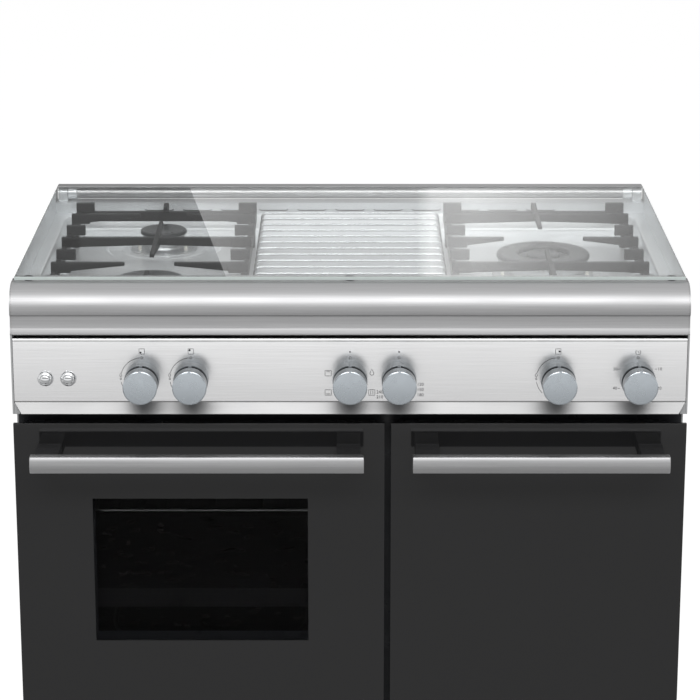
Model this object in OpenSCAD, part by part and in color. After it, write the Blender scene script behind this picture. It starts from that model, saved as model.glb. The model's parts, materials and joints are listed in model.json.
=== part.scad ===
// Freestanding gas cooker with a glass lid, an oven on the left and a storage
// compartment on the right. Millimetres, +Z up, the front faces -Y, and the
// origin is on the floor under the middle of the whole cooker.
// Inside the modules Y is the depth behind the door faces; place() moves it.

/* [Body] */
// Overall width across the side panels
body_w = 900; // [880:10:1000]
// Depth from the door faces to the rear edge of the side panels
body_d = 600; // [590:5:650]
// Overall height from the floor to the top of the closed lid
body_h = 885; // [880:5:930]
// Thickness of the side panels
side_t = 2.5; // [1.5:0.5:3.5]
// Thickness of the folded steel sheet
sheet_t = 1; // [0.8:0.1:1.5]
// Height of the underside of the base above the floor
base_z = 60; // [52:1:75]
// Rise from the underside of the base to the bottom of the doors
plinth_rise = 48; // [44:1:60]
// Distance of the back panel in front of the rear edge
back_inset = 30; // [28:1:40]
// Distance of the plinth behind the door faces
plinth_d = 60; // [50:1:80]
// Clearance between the plinth and the floor
plinth_lift = 20; // [10:1:30]

/* [Feet] */
// Radius of the foot pad
foot_r = 20; // [15:1:25]
// Thickness of the foot pad
foot_pad_h = 12; // [8:1:15]
// Radius of the foot stem
foot_stem_r = 5; // [4:0.5:6]
// Length of the threaded boss in the base
foot_boss_h = 26; // [22:1:30]
// Length of thread left in the boss when the foot is right down
foot_engage = 6.5; // [5:0.5:10]
// Wall of the boss around the stem
foot_boss_wall = 6; // [4:1:8]
// Travel of the levelling foot
foot_travel = 20; // [14:1:20]
// Distance of the feet from the sides and from the plinth and back panel
foot_inset = 45; // [40:1:70]

/* [Lid] */
// Thickness of the lid glass
glass_t = 5; // [4:0.5:6]
// Distance of the glass edge from the side of the body
lid_side_inset = 4; // [3.5:0.5:8]
// Depth of the front edge of the glass
lid_front_d = 34; // [30:1:38]
// Thickness of the channel along the rear edge of the glass
strip_t = 1; // [0.8:0.1:1.2]
// Width of that channel
strip_w = 19; // [16:1:19]
// Radius of the hinge tube
tube_r = 8.5; // [8:0.5:9]
// Wall of the hinge tube
tube_wall = 1.5; // [1:0.1:2]
// Distance of the hinge axis in front of the rear edge of the body
lid_axis_back = 15; // [15:0.5:18]
// Radius of the dark caps on the ends of the hinge tube
clamp_r = 10; // [9.5:0.5:10.5]
// Length of those caps
clamp_l = 14; // [10:1:18]
// Radius of the lid hinge pins
lid_pin_r = 4; // [3:0.5:4.5]
// Width of the lid hinge brackets
lid_bracket_w = 13.5; // [10:0.5:14]
// Distance of those brackets from the side of the body
lid_bracket_inset = 6; // [5:0.5:8]
// Height of the rubber bumpers under the lid
bumper_h = 1.2; // [1:0.1:1.5]
// Radius of the rubber bumpers
bumper_r = 6; // [4:0.5:7]

/* [Front rail] */
// Height of the rail from its top to its lower edge
rail_h = 65; // [62:1:72]
// Depth of the rail at the top
rail_d = 52; // [50:1:56]
// Radius of the rounded upper part
roll_r = 32; // [30:0.5:32]
// Drop from the top to the crease under the roll
crease_drop = 38.5; // [36:0.5:40]
// Radius of the hollow curve under the crease
flare_r = 40; // [38:1:44]
// Depth of the crease behind the door faces
crease_d = 6; // [5:0.5:7]
// Width of the return under the rail
rail_return = 22; // [18:1:30]

/* [Control panel] */
// Gap between the rail and the panel
rail_gap = 4.2; // [3:0.1:6]
// Height of the flat face
panel_face_h = 88; // [80:1:94]
// Height of the part behind and under the lip
panel_strip_h = 17; // [14:1:20]
// Drop of the lip from the face to its lower edge
panel_lip_h = 14.5; // [10:0.5:16]
// How far the lip stands forward
panel_lip_out = 8.5; // [5:0.5:11]
// How far the lower corners of the lip are cut in
panel_mitre = 10; // [6:1:14]
// Depth of the top and bottom returns
panel_return = 30; // [20:1:32]
// Gap between the panel and the side panels
panel_side_gap = 0.5; // [0.3:0.1:0.9]
// Drop from the top of the panel to the knob centres
knob_drop = 55; // [45:1:60]

/* [Knobs and buttons] */
// Distance of the outer burner knobs from the side of the body
burner_knob_inset = 174; // [160:1:190]
// Distance between neighbouring knobs
knob_pitch = 65; // [56:1:72]
// Distance of the timer knob from the side of the body
timer_knob_inset = 68; // [50:1:90]
// Radius of the fixed collar
collar_r = 23; // [20:0.5:24]
// Length of the fixed collar
collar_l = 20; // [16:1:22]
// Wall of the collar
collar_wall = 2.5; // [2:0.5:3]
// Gap between the collar and the knob
knob_gap = 3; // [2.8:0.1:4]
// Radius of the knob at its back
knob_r = 22.6; // [20:0.1:23]
// Radius of the knob at its face
knob_face_r = 22; // [19:0.1:22.5]
// Length of the knob
knob_l = 24; // [20:1:26]
// Bevel around the knob's face
knob_bevel = 1.2; // [0.8:0.1:2]
// Radius of the spindles
spindle_r = 4; // [3:0.5:4.5]
// Depth of the spindle in the knob
spindle_seat = 16; // [12:1:18]
// Length of the pointer on the knob's face
pointer_l = 7.5; // [5:0.5:9]
// Width of the pointer
pointer_w = 2.4; // [1.6:0.2:3]
// Height of the pointer
pointer_h = 1; // [0.5:0.1:1.2]
// Distance of the pointer from the edge of the face
pointer_inset = 2.5; // [1.5:0.5:4]
// Push travel of the burner knobs
knob_push = 2.5; // [2:0.1:2.5]
// Radius of the spindle holes in the panel
spindle_hole_r = 6; // [5.5:0.5:7]
// Distance of the first button from the side of the body
button_inset = 45.3; // [42:0.1:50]
// Distance between the buttons
button_pitch = 30.3; // [28:0.1:34]
// Radius of the buttons
button_r = 9.5; // [8:0.5:10]
// Length of the button in front of the panel
button_l = 9; // [7:0.5:11]
// Height of the dome on the button
button_dome = 3.5; // [2:0.5:4]
// Push travel of the buttons
button_travel = 3; // [2:0.5:3.5]
// Radius of the button stems
button_stem_r = 4; // [3:0.5:5]
// Outer radius of the button bezels
bezel_r = 11.5; // [11:0.5:13]
// Height of the button bezels
bezel_h = 3; // [2:0.5:4]

/* [Hob] */
// Distance from the glass down to the grate tops
grate_lid_gap = 7; // [5:0.5:10]
// Height of the grates above the hob
grate_h = 51; // [47:1:54]
// Depth of the hob well below the ledge around it
well_h = 21; // [18:1:24]
// Width of the ledge at the sides of the well
well_side = 20; // [16:1:24]
// Distance the well walls slope inwards
well_slope = 11; // [8:1:12]
// Corner radius of the well
well_r = 30; // [25:1:36]
// Depth of the front edge of the well
well_front_d = 60; // [57:1:62]
// Distance of the well in front of the rear wall
well_rear_gap = 12; // [10:1:18]
// Depth of the dishes around the burners
dish_h = 3; // [2:0.5:4]
// Radius of the dishes
dish_r = 82; // [78:1:84]
// Drop from the glass to the tops of the side panels
side_lid_gap = 3; // [2:0.5:4]
// Distance of the slotted rear wall in front of the rear edge
rear_wall_back = 34; // [32:1:40]
// Length of the vent slots
slot_l = 44.5; // [36:0.5:46]
// Height of the vent slots
slot_h = 6; // [4:0.5:7]
// Distance between the vent slots
slot_pitch = 58; // [56:0.5:60]
// Number of vent slots
slot_count = 11; // [7:2:13]

/* [Grates] */
// Distance of the grates from the top edge of the well's sides
grate_side_gap = 18; // [16:0.5:22]
// Distance of the grates from the middle of the hob
grate_mid_gap = 139.7; // [138:0.1:146]
// Distance of the grates from the front edge of the well
grate_front_gap = 10; // [8:1:16]
// Distance of the grates from the rear edge of the well
grate_rear_gap = 44; // [36:1:50]
// Thickness of the bars
bar_t = 8; // [7:0.5:9]
// Thickness of the bars at their tips
tip_t = 6.5; // [5:0.5:7]
// Height of the bars
bar_h = 15; // [12:1:16]
// Drop from the grate top to the top of the outer frame
frame_drop = 13; // [10:1:14]
// Length of the end blocks
end_l = 27; // [20:1:32]
// Distance of the finger tips from the centre of a small burner
tip_gap = 34; // [30:1:40]
// Distance of the finger tips from the centre of the ring burner
ring_tip_gap = 56; // [50:1:60]
// How much further the fingers along the depth stay away
deep_tip_extra = 10; // [6:1:14]

/* [Wire rack] */
// Distance of the wire rack from the grates beside it
rack_gap = 8.7; // [6:0.1:14]
// Radius of the wires
wire_r = 2.2; // [1.8:0.1:2.6]
// Number of cross wires
wire_count = 12; // [8:1:12]
// Drop from the grate top to the wire tops
wire_drop = 10; // [8:1:14]
// Length of the bent ends
wire_end = 18; // [14:1:22]

/* [Burners] */
// Radius of the rear cap
rear_cap_r = 34; // [30:1:38]
// Radius of the front cap
front_cap_r = 48; // [44:1:52]
// Outer radius of the ring cap
ring_cap_r = 66; // [62:1:68]
// Inner radius of the ring cap
ring_in_r = 36.6; // [34:0.2:40]
// Radius of the small cap inside the ring
centre_cap_r = 24; // [20:1:26]
// Drop from the grate top to the cap tops
cap_drop = 22; // [18:1:24]
// Thickness of the caps
cap_h = 7; // [5:1:8]
// Height of the burner heads
head_h = 16; // [14:1:18]
// Depth of the burner cups under the hob
cup_h = 21; // [18:1:24]
// Distance of the cup wall inside the cap
cup_inset = 6; // [5:1:8]
// Radius of the probes beside the burners
probe_r = 2.5; // [2:0.1:3]
// Distance of the probes from the edge of the cap
probe_gap = 7; // [5:0.5:8]

/* [Doors] */
// Gap between the panel and the doors
door_top_gap = 13; // [10:1:16]
// Gap between the doors
door_gap = 8.4; // [7:0.2:10]
// Distance of that gap to the right of the middle
door_split_x = 50.6; // [40:0.2:60]
// Thickness of the outer glass
door_glass_t = 5; // [4:0.5:5]
// Depth of the back of the door frames
door_frame_d = 36; // [32:1:38]
// Thickness of the inner glass
inner_glass_t = 4; // [3:0.5:5]
// Distance of the door frames from the glass edges
door_frame_inset = 12; // [10:1:16]
// Width of the window
window_w = 290; // [270:5:300]
// Height of the window above the lower edge of the door
window_rise = 119; // [110:1:130]
// Distance of the window below the top of the door
window_drop = 106; // [100:1:110]
// Depth of the hinge axes behind the door faces
hinge_d = 12; // [11.5:0.5:13]
// Distance of the hinge axes from the edges of the doors
hinge_inset = 8; // [7:0.5:8]
// Radius of the door hinge pins
hinge_pin_r = 4; // [3:0.5:4]
// Width of the hinge brackets and knuckles
knuckle_w = 12; // [8:1:14]

/* [Handles] */
// Distance from the door face to the front of the handle bar
handle_out = 66; // [60:1:72]
// Depth of the handle bar
handle_bar_d = 16; // [14:1:18]
// Height of the handle bar
handle_bar_h = 22.7; // [20:0.1:25]
// Distance of the bar centre below the top of the door
handle_drop = 38; // [34:1:44]
// Distance of the bar ends from the edges of the door
handle_inset = 28; // [24:1:34]
// Distance of the brackets from the bar ends
bracket_inset = 3.5; // [2:0.5:6]
// Width of the brackets
bracket_w = 34.5; // [28:0.5:38]

/* [Oven] */
// Distance of the oven walls from the edges of the door
oven_side = 48.2; // [46:0.2:54]
// Height of the oven floor above the lower edge of the door
oven_rise = 40; // [36:1:50]
// Distance of the oven's rear wall in front of the back panel
oven_rear_gap = 70; // [60:5:90]
// Distance of the oven roof below the door top
oven_drop = 70; // [66:1:76]
// Thickness of the insulation
wool_t = 22; // [18:1:24]
// Thickness of the door seal
seal_t = 6; // [4:1:8]
// Radius of the oven wires
oven_wire_r = 2.5; // [2:0.1:3]
// Distance of the shelf wires from the oven walls
wire_gap = 10; // [8:1:12]
// Distance of the shelf wires from the oven mouth and the rear wall
wire_end_gap = 20; // [14:1:30]
// Distance of their posts from the oven mouth and the rear wall
post_gap = 90; // [70:5:110]
// How far the posts reach past the shelf wires
post_reach = 30; // [24:1:34]
// Distance of the rack and the tray behind the oven mouth
shelf_front_gap = 24; // [20:1:30]
// Distance of the rack in front of the rear wall
rack_rear_gap = 30; // [24:1:40]
// Distance of the tray in front of the rear wall
tray_rear_gap = 40; // [30:1:50]
// Width of the rim around the tray
tray_rim = 10; // [8:1:14]
// Distance of the rack level below the oven roof
rack_drop = 76; // [70:1:90]
// Height of the lowest shelf level above the oven floor
level_rise = 73; // [66:1:80]
// Number of shelf levels
level_count = 4; // [3:1:4]
// Distance between the bars of the rack
oven_bar_pitch = 33; // [30:1:40]
// Radius of the heating tubes
heater_r = 3.5; // [3:0.5:4]
// Distance of the heaters from the roof and the floor
heater_gap = 16; // [12:1:20]
// Distance of the heaters from the side walls and the oven mouth
heater_inset = 60; // [50:5:80]
// Depth of the baking tray
tray_h = 30; // [20:1:40]
// Radius of the lamp lens
lamp_r = 26; // [20:1:30]
// Distance of the lamp's centre from the side wall and the roof
lamp_inset = 55; // [45:1:65]

/* [Drawer] */
// Thickness of the drawer front
drawer_front_t = 18; // [15:1:22]
// Height of the drawer front
drawer_front_h = 143.9; // [140:0.1:160]
// Distance of the drawer box below the top of its front
drawer_box_drop = 28.9; // [26:0.1:36]
// Rise of the drawer box above the bottom of its front
drawer_box_rise = 10; // [8:1:14]
// Distance of the drawer box in front of the back panel
drawer_rear_gap = 52; // [44:2:80]
// Width of the runners
runner_w = 16; // [14:1:20]
// Height of the runners
runner_h = 12; // [8:1:16]
// Rise from the drawer bottom to the top of the runners
runner_rise = 40; // [30:1:50]

/* [Gas and electrics] */
// Size of the square gas rail
gas_rail = 16; // [14:1:18]
// Radius of the tap bodies
tap_r = 13; // [11:1:14]
// Depth of the front of the taps
tap_d = 12; // [10:1:14]
// Length of the taps
tap_l = 40; // [36:1:44]
// Radius of the burner pipes
pipe_r = 4; // [3:0.5:5]
// Radius of the gas inlet stub
inlet_r = 10.5; // [10.5:0.1:13]
// Length of the gas inlet stub
inlet_l = 24; // [20:1:26]
// Distance of the gas inlet from the side of the body
inlet_inset = 50; // [40:1:70]
// Radius of the hole in the cable gland
gland_hole_r = 5; // [4:0.5:6]
// Outer radius of the cable gland
gland_r = 11; // [10:0.5:13]
// Distance between the two anchor holes in the back panel
anchor_pitch = 200; // [160:10:300]
// Radius of the anchor holes
anchor_r = 3; // [2:0.5:4]

/* [Hidden] */
$fn = 48;

// Clearances
run = 0.05;
seat = 0.3;
play = 0.5;
cut = 1;
skin = 0.01;
tilt = 90;

// Colours
steel = "#c9cbcd";
dark = "#313233";
black = "#1b1b1c";
enamel = "#3a3d42";
satin = "#a9b3ba";
clear = [0.75, 0.8, 0.8, 0.4];

// Levels, from the lid down
glass_top = body_h - strip_t;
glass_z = glass_top - glass_t;
lid_axis_z = glass_z - strip_t - tube_r;
rail_top = glass_z - bumper_h - seat;
rail_bottom = rail_top - rail_h;
panel_top = rail_bottom - rail_gap;
fold_z = panel_top - panel_face_h;
panel_bottom = fold_z - panel_strip_h;
door_top = panel_bottom - door_top_gap;
door_bottom = base_z + plinth_rise;
drawer_top = door_bottom + drawer_front_h;
oven_door_bottom = drawer_top + door_gap;
knob_z = panel_top - knob_drop;
side_top = glass_z - side_lid_gap;
grate_top = glass_z - grate_lid_gap;
deck_z = grate_top - grate_h;
ledge_z = deck_z + well_h;
dish_z = deck_z - dish_h;
cap_top = grate_top - cap_drop;
head_top = cap_top - cap_h;
head_z = head_top - head_h;
frame_top = grate_top - frame_drop;
trim_clear = 1.5;
trim_top = lid_axis_z - clamp_r - trim_clear;
shield_z = panel_bottom - sheet_t;
oven_top = door_top - oven_drop;
oven_z = oven_door_bottom + oven_rise;
window_top = door_top - window_drop;
window_bottom = oven_door_bottom + window_rise;
handle_z = door_top - handle_drop;

// Places across and along the body
front_y = -(body_d - handle_out) / 2;
side_x = body_w / 2;
in_x = side_x - side_t;
face_gap = 4;
face_d = door_frame_d + inner_glass_t + face_gap;
inside_d = face_d + sheet_t;
back_d = body_d - back_inset;
lid_axis_d = body_d - lid_axis_back;
rear_wall_d = body_d - rear_wall_back;
trim_back_d = lid_axis_d + tube_r - play;
well_rear_d = rear_wall_d - well_rear_gap;
left_door_x1 = door_split_x - door_gap / 2;
right_door_x0 = door_split_x + door_gap / 2;
door_mid_x = (left_door_x1 - side_x) / 2;
oven_w = left_door_x1 + side_x - 2 * oven_side;
part_x = door_split_x - sheet_t / 2;
bay_mid_x = (part_x - in_x) / 2;
bay_half = (part_x + in_x) / 2;
oven_back_d = back_d - oven_rear_gap;
burner_knob_x = side_x - burner_knob_inset;
timer_knob_x = side_x - timer_knob_inset;
knob_x = [
  -burner_knob_x, -(burner_knob_x - knob_pitch), 0, knob_pitch, burner_knob_x, timer_knob_x
];
button_x = [-(side_x - button_inset), -(side_x - button_inset - button_pitch)];
well_half = in_x - well_side;
grate_half = (well_half - grate_side_gap - grate_mid_gap) / 2;
grate_x = grate_mid_gap + grate_half;
grate_front_d = well_front_d + grate_front_gap;
bar_pitch = (well_rear_d - grate_rear_gap - grate_front_d - bar_t) / 6;
grate_d = grate_front_d + bar_t / 2 + 3 * bar_pitch;
wire_pitch = bar_pitch / 2;
rear_burner = [-grate_x, grate_d + 2 * bar_pitch, rear_cap_r];
front_burner = [-grate_x, grate_d - 2 * bar_pitch, front_cap_r];
ring_burner = [grate_x, grate_d, ring_cap_r];
burners = [rear_burner, front_burner, ring_burner];
foot_x = side_x - foot_inset;
foot_front_d = plinth_d + foot_inset;
foot_rear_d = back_d - foot_inset;

// Steps at the burner cups and dishes
cup_step = 4;
dish_rim = 4;
head_step = 2;
head_chamfer = 3;

// Lid hinge
bracket_x1 = side_x - lid_bracket_inset;
bracket_x0 = bracket_x1 - lid_bracket_w;
tube_end_x = bracket_x0 - seat - play;
strip_tail = 11;
strip_back_d = lid_axis_d + strip_tail;

// Door hinges
oven_hinge_z = oven_door_bottom + hinge_inset;
store_hinge_x = side_x - hinge_d;
frame_clear = 8;
hinge_wall = 2;
boss_r = hinge_pin_r + hinge_wall;
pin_l = knuckle_w + hinge_wall;
oven_hinge_inset = 20;
store_hinge_inset = 60;
glass_edge = 10;

// Seats of the rack and the tray beside the posts of the shelf wires
wire_x = oven_w / 2 - wire_gap;
post_x = wire_x + 2 * oven_wire_r - play;
rack_x = wire_x - play - seat;
tray_x = wire_x + 1;
level_pitch = (oven_top - rack_drop - oven_z - level_rise) / (level_count - 1);

// Openings in the face frame, and the floor and drawer behind it
floor_drop = 4;
floor_z = door_bottom - floor_drop;
floor_post = 20;
bay_stile = 12;
bay_edge = 4;
store_stile = 20;
drawer_z = door_bottom + drawer_box_rise;
drawer_back_d = back_d - drawer_rear_gap;
drawer_box_h = drawer_top - drawer_box_drop - drawer_z;
runner_top = drawer_z + runner_rise;
drawer_return = 18;

// Gas, electrics and spindles
rail_inset = 4;
rail_reach = 25;
rail_post = 5;
rail_end_gap = 4.5;
grommet_l = 14;
grommet_neck_l = 4;
switch_half = 20;
switch_l = 32;
push_switch_half = 9;
push_switch_rise = 12;
push_switch_l = 34;
gas_rail_z = knob_z - tap_r - gas_rail / 2;
gas_rail_d = tap_d + tap_l - gas_rail / 2 - rail_inset;
spindle_depth = 14;
button_stem_l = 12;
gland_neck_r = gland_r - 3;
inlet_neck_r = inlet_r - 1.5;
back_anchor_drop = 105;

// Points on an arc about (cy, cz)
function arc(cy, cz, r, a0, a1, n) =
  [for (i = [0:n]) let (a = a0 + (a1 - a0) * i / n) [cy + r * cos(a), cz + r * sin(a)]];

function reversed(p) = [for (i = [len(p) - 1:-1:0]) p[i]];

// Moves depths behind the door faces into the cooker's own frame
module place(colour) {
  color(colour) translate([0, front_y, 0]) children();
}

module block(x0, x1, y0, y1, z0, z1) {
  translate([x0, y0, z0]) cube([x1 - x0, y1 - y0, z1 - z0]);
}

// Extrudes an outline drawn in depth and height along X
module along_x(x0, x1) {
  translate([x0, 0, 0]) rotate([90, 0, 90]) linear_extrude(x1 - x0) children();
}

module rod_x(x0, x1, y, z, r) {
  translate([x0, y, z]) rotate([0, 90, 0]) cylinder(r = r, h = x1 - x0);
}

module rod_y(x, y0, y1, z, r) {
  translate([x, y1, z]) rotate([90, 0, 0]) cylinder(r = r, h = y1 - y0);
}

module rod_z(x, y, z0, z1, r) {
  translate([x, y, z0]) cylinder(r = r, h = z1 - z0);
}

// Folded tray of sheet, open towards the front
module pan(x0, x1, y0, y1, z0, z1, t) {
  difference() {
    block(x0, x1, y0, y1, z0, z1);
    block(x0 + t, x1 - t, y0 - cut, y1 - t, z0 + t, z1 - t);
  }
}

// Four thin discs at the corners of a rectangle, for a rounded plate
module corners(x, y0, y1, r, z) {
  for (sx = [-1, 1], y = [y0 + r, y1 - r]) {
    translate([sx * (x - r), y, z]) cylinder(r = r, h = skin, $fn = 32);
  }
}

// Body

module side_outline() {
  polygon([
    [face_d, base_z], [face_d, panel_bottom], [play, panel_bottom], [play, rail_bottom],
    [rail_d, rail_bottom], [rail_d, side_top], [body_d, side_top], [body_d, base_z]
  ]);
}

module side_panels() {
  place(steel) {
    along_x(-side_x, -in_x) side_outline();
    along_x(in_x, side_x) side_outline();
  }
}

module back_panel() {
  anchor_z = body_h - back_anchor_drop;
  place("#9a9c9e") difference() {
    block(-in_x, in_x, back_d - sheet_t, back_d, base_z + sheet_t, ledge_z - sheet_t);
    rod_y(side_x - inlet_inset, back_d - 2 * sheet_t, back_d + cut, gas_rail_z,
          inlet_neck_r + play);
    rod_y(inlet_inset - side_x, back_d - 2 * sheet_t, back_d + cut, gas_rail_z, gland_neck_r + seat);
    for (s = [-1, 1]) {
      rod_y(s * anchor_pitch / 2, back_d - 2 * sheet_t, back_d + cut, anchor_z, anchor_r);
    }
  }
}

module base_pan() {
  flange_h = plinth_rise - floor_drop - play;
  place("#8d8f91") difference() {
    union() {
      block(-in_x, in_x, plinth_d, back_d - sheet_t, base_z, base_z + sheet_t);
      block(-in_x, in_x, plinth_d, plinth_d + sheet_t, base_z, base_z + flange_h);
      for (sx = [-1, 1], y = [foot_front_d, foot_rear_d]) {
        rod_z(sx * foot_x, y, base_z, base_z + foot_boss_h, foot_stem_r + foot_boss_wall);
      }
    }
    for (sx = [-1, 1], y = [foot_front_d, foot_rear_d]) {
      rod_z(sx * foot_x, y, base_z - cut, base_z + foot_boss_h + cut, foot_stem_r + run);
    }
  }
}

module plinth() {
  place(dark) {
    block(-in_x, in_x, plinth_d - sheet_t, plinth_d, plinth_lift, floor_z - seat);
  }
}

module foot(x, y) {
  stem_top = base_z + foot_travel + foot_engage;
  place(black) {
    rod_z(x, y, 0, foot_pad_h, foot_r);
    rod_z(x, y, foot_pad_h, stem_top, foot_stem_r);
  }
}

module foot_front_left() { foot(-foot_x, foot_front_d); }
module foot_front_right() { foot(foot_x, foot_front_d); }
module foot_rear_left() { foot(-foot_x, foot_rear_d); }
module foot_rear_right() { foot(foot_x, foot_rear_d); }

module heat_shield() {
  place("#b5b7b9") block(-in_x, in_x, inside_d, back_d - sheet_t, shield_z, panel_bottom);
}

// Partition beside the compartment, and the compartment's floor on its post
module inner_walls() {
  foot_d = plinth_d + sheet_t;
  place("#9a9c9e") {
    block(part_x, part_x + sheet_t, inside_d, back_d - sheet_t, floor_z, shield_z);
    block(part_x, part_x + sheet_t, foot_d, back_d - sheet_t, base_z + sheet_t, floor_z);
    block(part_x + sheet_t, in_x, inside_d, back_d - sheet_t, floor_z, floor_z + sheet_t);
    block(in_x - floor_post, in_x, back_d - sheet_t - floor_post, back_d - sheet_t,
          base_z + sheet_t, floor_z);
  }
}

// Sheet behind the doors with the three openings in it
module face_frame() {
  place("#2a2b2d") difference() {
    block(-in_x, in_x, face_d, inside_d, floor_z, panel_bottom);
    block(door_mid_x - oven_w / 2, door_mid_x + oven_w / 2, face_d - cut, inside_d + cut,
          oven_z, oven_top);
    block(bay_mid_x - bay_half + bay_edge, bay_mid_x + bay_half - bay_edge, face_d - cut,
          inside_d + cut, door_bottom + bay_edge, drawer_top - bay_edge);
    block(door_split_x + bay_stile, in_x - store_stile, face_d - cut, inside_d + cut,
          door_bottom + bay_edge, door_top - bay_stile);
  }
}

// Oven

module oven_cavity() {
  place(enamel) difference() {
    block(door_mid_x - oven_w / 2 - sheet_t, door_mid_x + oven_w / 2 + sheet_t, inside_d,
          oven_back_d + sheet_t, oven_z - sheet_t, oven_top + sheet_t);
    block(door_mid_x - oven_w / 2, door_mid_x + oven_w / 2, inside_d - cut, oven_back_d,
          oven_z, oven_top);
  }
}

module oven_insulation() {
  half = oven_w / 2 + sheet_t;
  place("#c8bd8e") difference() {
    block(door_mid_x - half - wool_t, door_mid_x + half + wool_t, inside_d,
          oven_back_d + sheet_t + wool_t, oven_z - sheet_t - wool_t, oven_top + sheet_t + wool_t);
    block(door_mid_x - half, door_mid_x + half, inside_d - cut, oven_back_d + sheet_t,
          oven_z - sheet_t, oven_top + sheet_t);
  }
}

// Seal around the oven mouth, bumpers under the lid and the lead's grommet
module rubber_seals() {
  lip = 2;
  bumper_x = side_x - lid_side_inset - 3 * bumper_r;
  bumper_d = (lid_front_d + rail_d) / 2;
  place(black) {
    difference() {
      block(door_mid_x - oven_w / 2 - lip - seal_t, door_mid_x + oven_w / 2 + lip + seal_t,
            face_d - face_gap + seat, face_d, oven_z - lip - seal_t, oven_top + lip + seal_t);
      block(door_mid_x - oven_w / 2 - lip, door_mid_x + oven_w / 2 + lip,
            face_d - face_gap - cut, face_d + cut, oven_z - lip, oven_top + lip);
    }
    for (x = [-bumper_x, 0, bumper_x]) {
      rod_z(x, bumper_d, rail_top, rail_top + bumper_h, bumper_r);
    }
    grommet();
  }
}

// Height of the shelf wires at each level
function level_z(i) = oven_top - rack_drop - i * level_pitch - 2 * oven_wire_r - seat;

module rack_guides() {
  low = level_z(level_count - 1);
  top = level_z(0);
  wall_x = oven_w / 2;
  place("#b9bcbe") for (s = [-1, 1]) translate([door_mid_x, 0, 0]) {
    for (i = [0:level_count - 1]) {
      rod_y(s * wire_x, inside_d + wire_end_gap, oven_back_d - wire_end_gap, level_z(i), oven_wire_r);
    }
    for (y = [inside_d + post_gap, oven_back_d - post_gap]) {
      rod_z(s * post_x, y, low - post_reach, top + post_reach, oven_wire_r);
      for (z = [low - post_reach / 2, top + post_reach / 2]) {
        rod_x(min(s * post_x, s * wall_x), max(s * post_x, s * wall_x), y, z, oven_wire_r);
      }
    }
  }
}

module oven_rack() {
  front = inside_d + shelf_front_gap;
  back = oven_back_d - rack_rear_gap;
  z = oven_top - rack_drop;
  bars = floor((2 * rack_x - oven_bar_pitch) / oven_bar_pitch);
  place("#c4c7c9") translate([door_mid_x, 0, 0]) {
    for (s = [-1, 1]) {
      rod_y(s * rack_x, front, back, z, oven_wire_r);
    }
    for (y = [front, back]) {
      rod_x(-rack_x, rack_x, y, z, oven_wire_r);
    }
    for (i = [0:bars - 1]) {
      rod_y((i - (bars - 1) / 2) * oven_bar_pitch, front, back, z + oven_wire_r / 2,
            oven_wire_r - 1);
    }
  }
}

module baking_tray() {
  body = tray_x - tray_rim;
  front = inside_d + shelf_front_gap;
  back = oven_back_d - tray_rear_gap;
  rim_z = level_z(2) + oven_wire_r + seat;
  inner = tray_rim + sheet_t;
  place(enamel) translate([door_mid_x, 0, 0]) difference() {
    union() {
      block(-tray_x, tray_x, front, back, rim_z, rim_z + sheet_t);
      block(-body, body, front + tray_rim, back - tray_rim, rim_z - tray_h, rim_z + sheet_t);
    }
    block(-body + sheet_t, body - sheet_t, front + inner, back - inner, rim_z - tray_h + sheet_t,
          rim_z + sheet_t + cut);
  }
}

// One heating tube with two legs and a bend, and its plate on the rear wall
module heater(z, hang) {
  half = oven_w / 2 - heater_inset;
  bend_d = inside_d + heater_inset + half;
  plate_t = 6;
  plate_reach = 20;
  leg_l = 20;
  translate([door_mid_x, 0, 0]) {
    for (s = [-1, 1]) {
      rod_y(s * half, bend_d, oven_back_d - plate_t, z, heater_r);
      rod_z(s * half, bend_d + leg_l, z + min(0, hang), z + max(0, hang), heater_r - 1);
    }
    translate([0, bend_d, z]) rotate([0, 0, 180]) rotate_extrude(angle = 180) {
      translate([half, 0]) circle(heater_r);
    }
    block(-half - plate_reach, half + plate_reach, oven_back_d - plate_t, oven_back_d,
          z - 2 * heater_r, z + 2 * heater_r);
  }
}

module oven_heaters() {
  place("#4a4542") {
    heater(oven_top - heater_gap, heater_gap);
    heater(oven_z + heater_gap, -heater_gap);
  }
}

module oven_lamp() {
  rim_h = 6;
  rim_w = 4;
  dome = 12;
  x = door_mid_x + oven_w / 2 - lamp_inset;
  place([0.9, 0.9, 0.85, 0.6]) {
    translate([x, oven_back_d, oven_top - lamp_inset]) rotate([tilt, 0, 0]) {
      rotate_extrude() polygon(concat(
        [[0, 0], [lamp_r, 0], [lamp_r, rim_h]],
        [for (a = [0:10:90]) [(lamp_r - rim_w) * cos(a), rim_h + dome * sin(a)]]
      ));
    }
  }
}

// Hob

module well_shape(grow) {
  bottom_x = well_half - well_slope + grow;
  hull() {
    corners(well_half + grow, well_front_d - grow, well_rear_d + grow, well_r + grow,
            ledge_z - skin);
    corners(bottom_x, well_front_d + well_slope - grow, well_rear_d - well_slope + grow,
            well_r - well_slope + grow, deck_z - grow);
  }
}

module dish(b) {
  hole = b[2] - cup_inset - cup_step + play;
  rim = dish_r + dish_rim;
  translate([b[0], b[1], 0]) rotate_extrude() polygon([
    [hole, dish_z], [dish_r - dish_h, dish_z], [dish_r, deck_z], [rim, deck_z],
    [rim, deck_z - sheet_t], [dish_r, deck_z - sheet_t], [dish_r - dish_h, dish_z - sheet_t],
    [hole, dish_z - sheet_t]
  ]);
}

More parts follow.
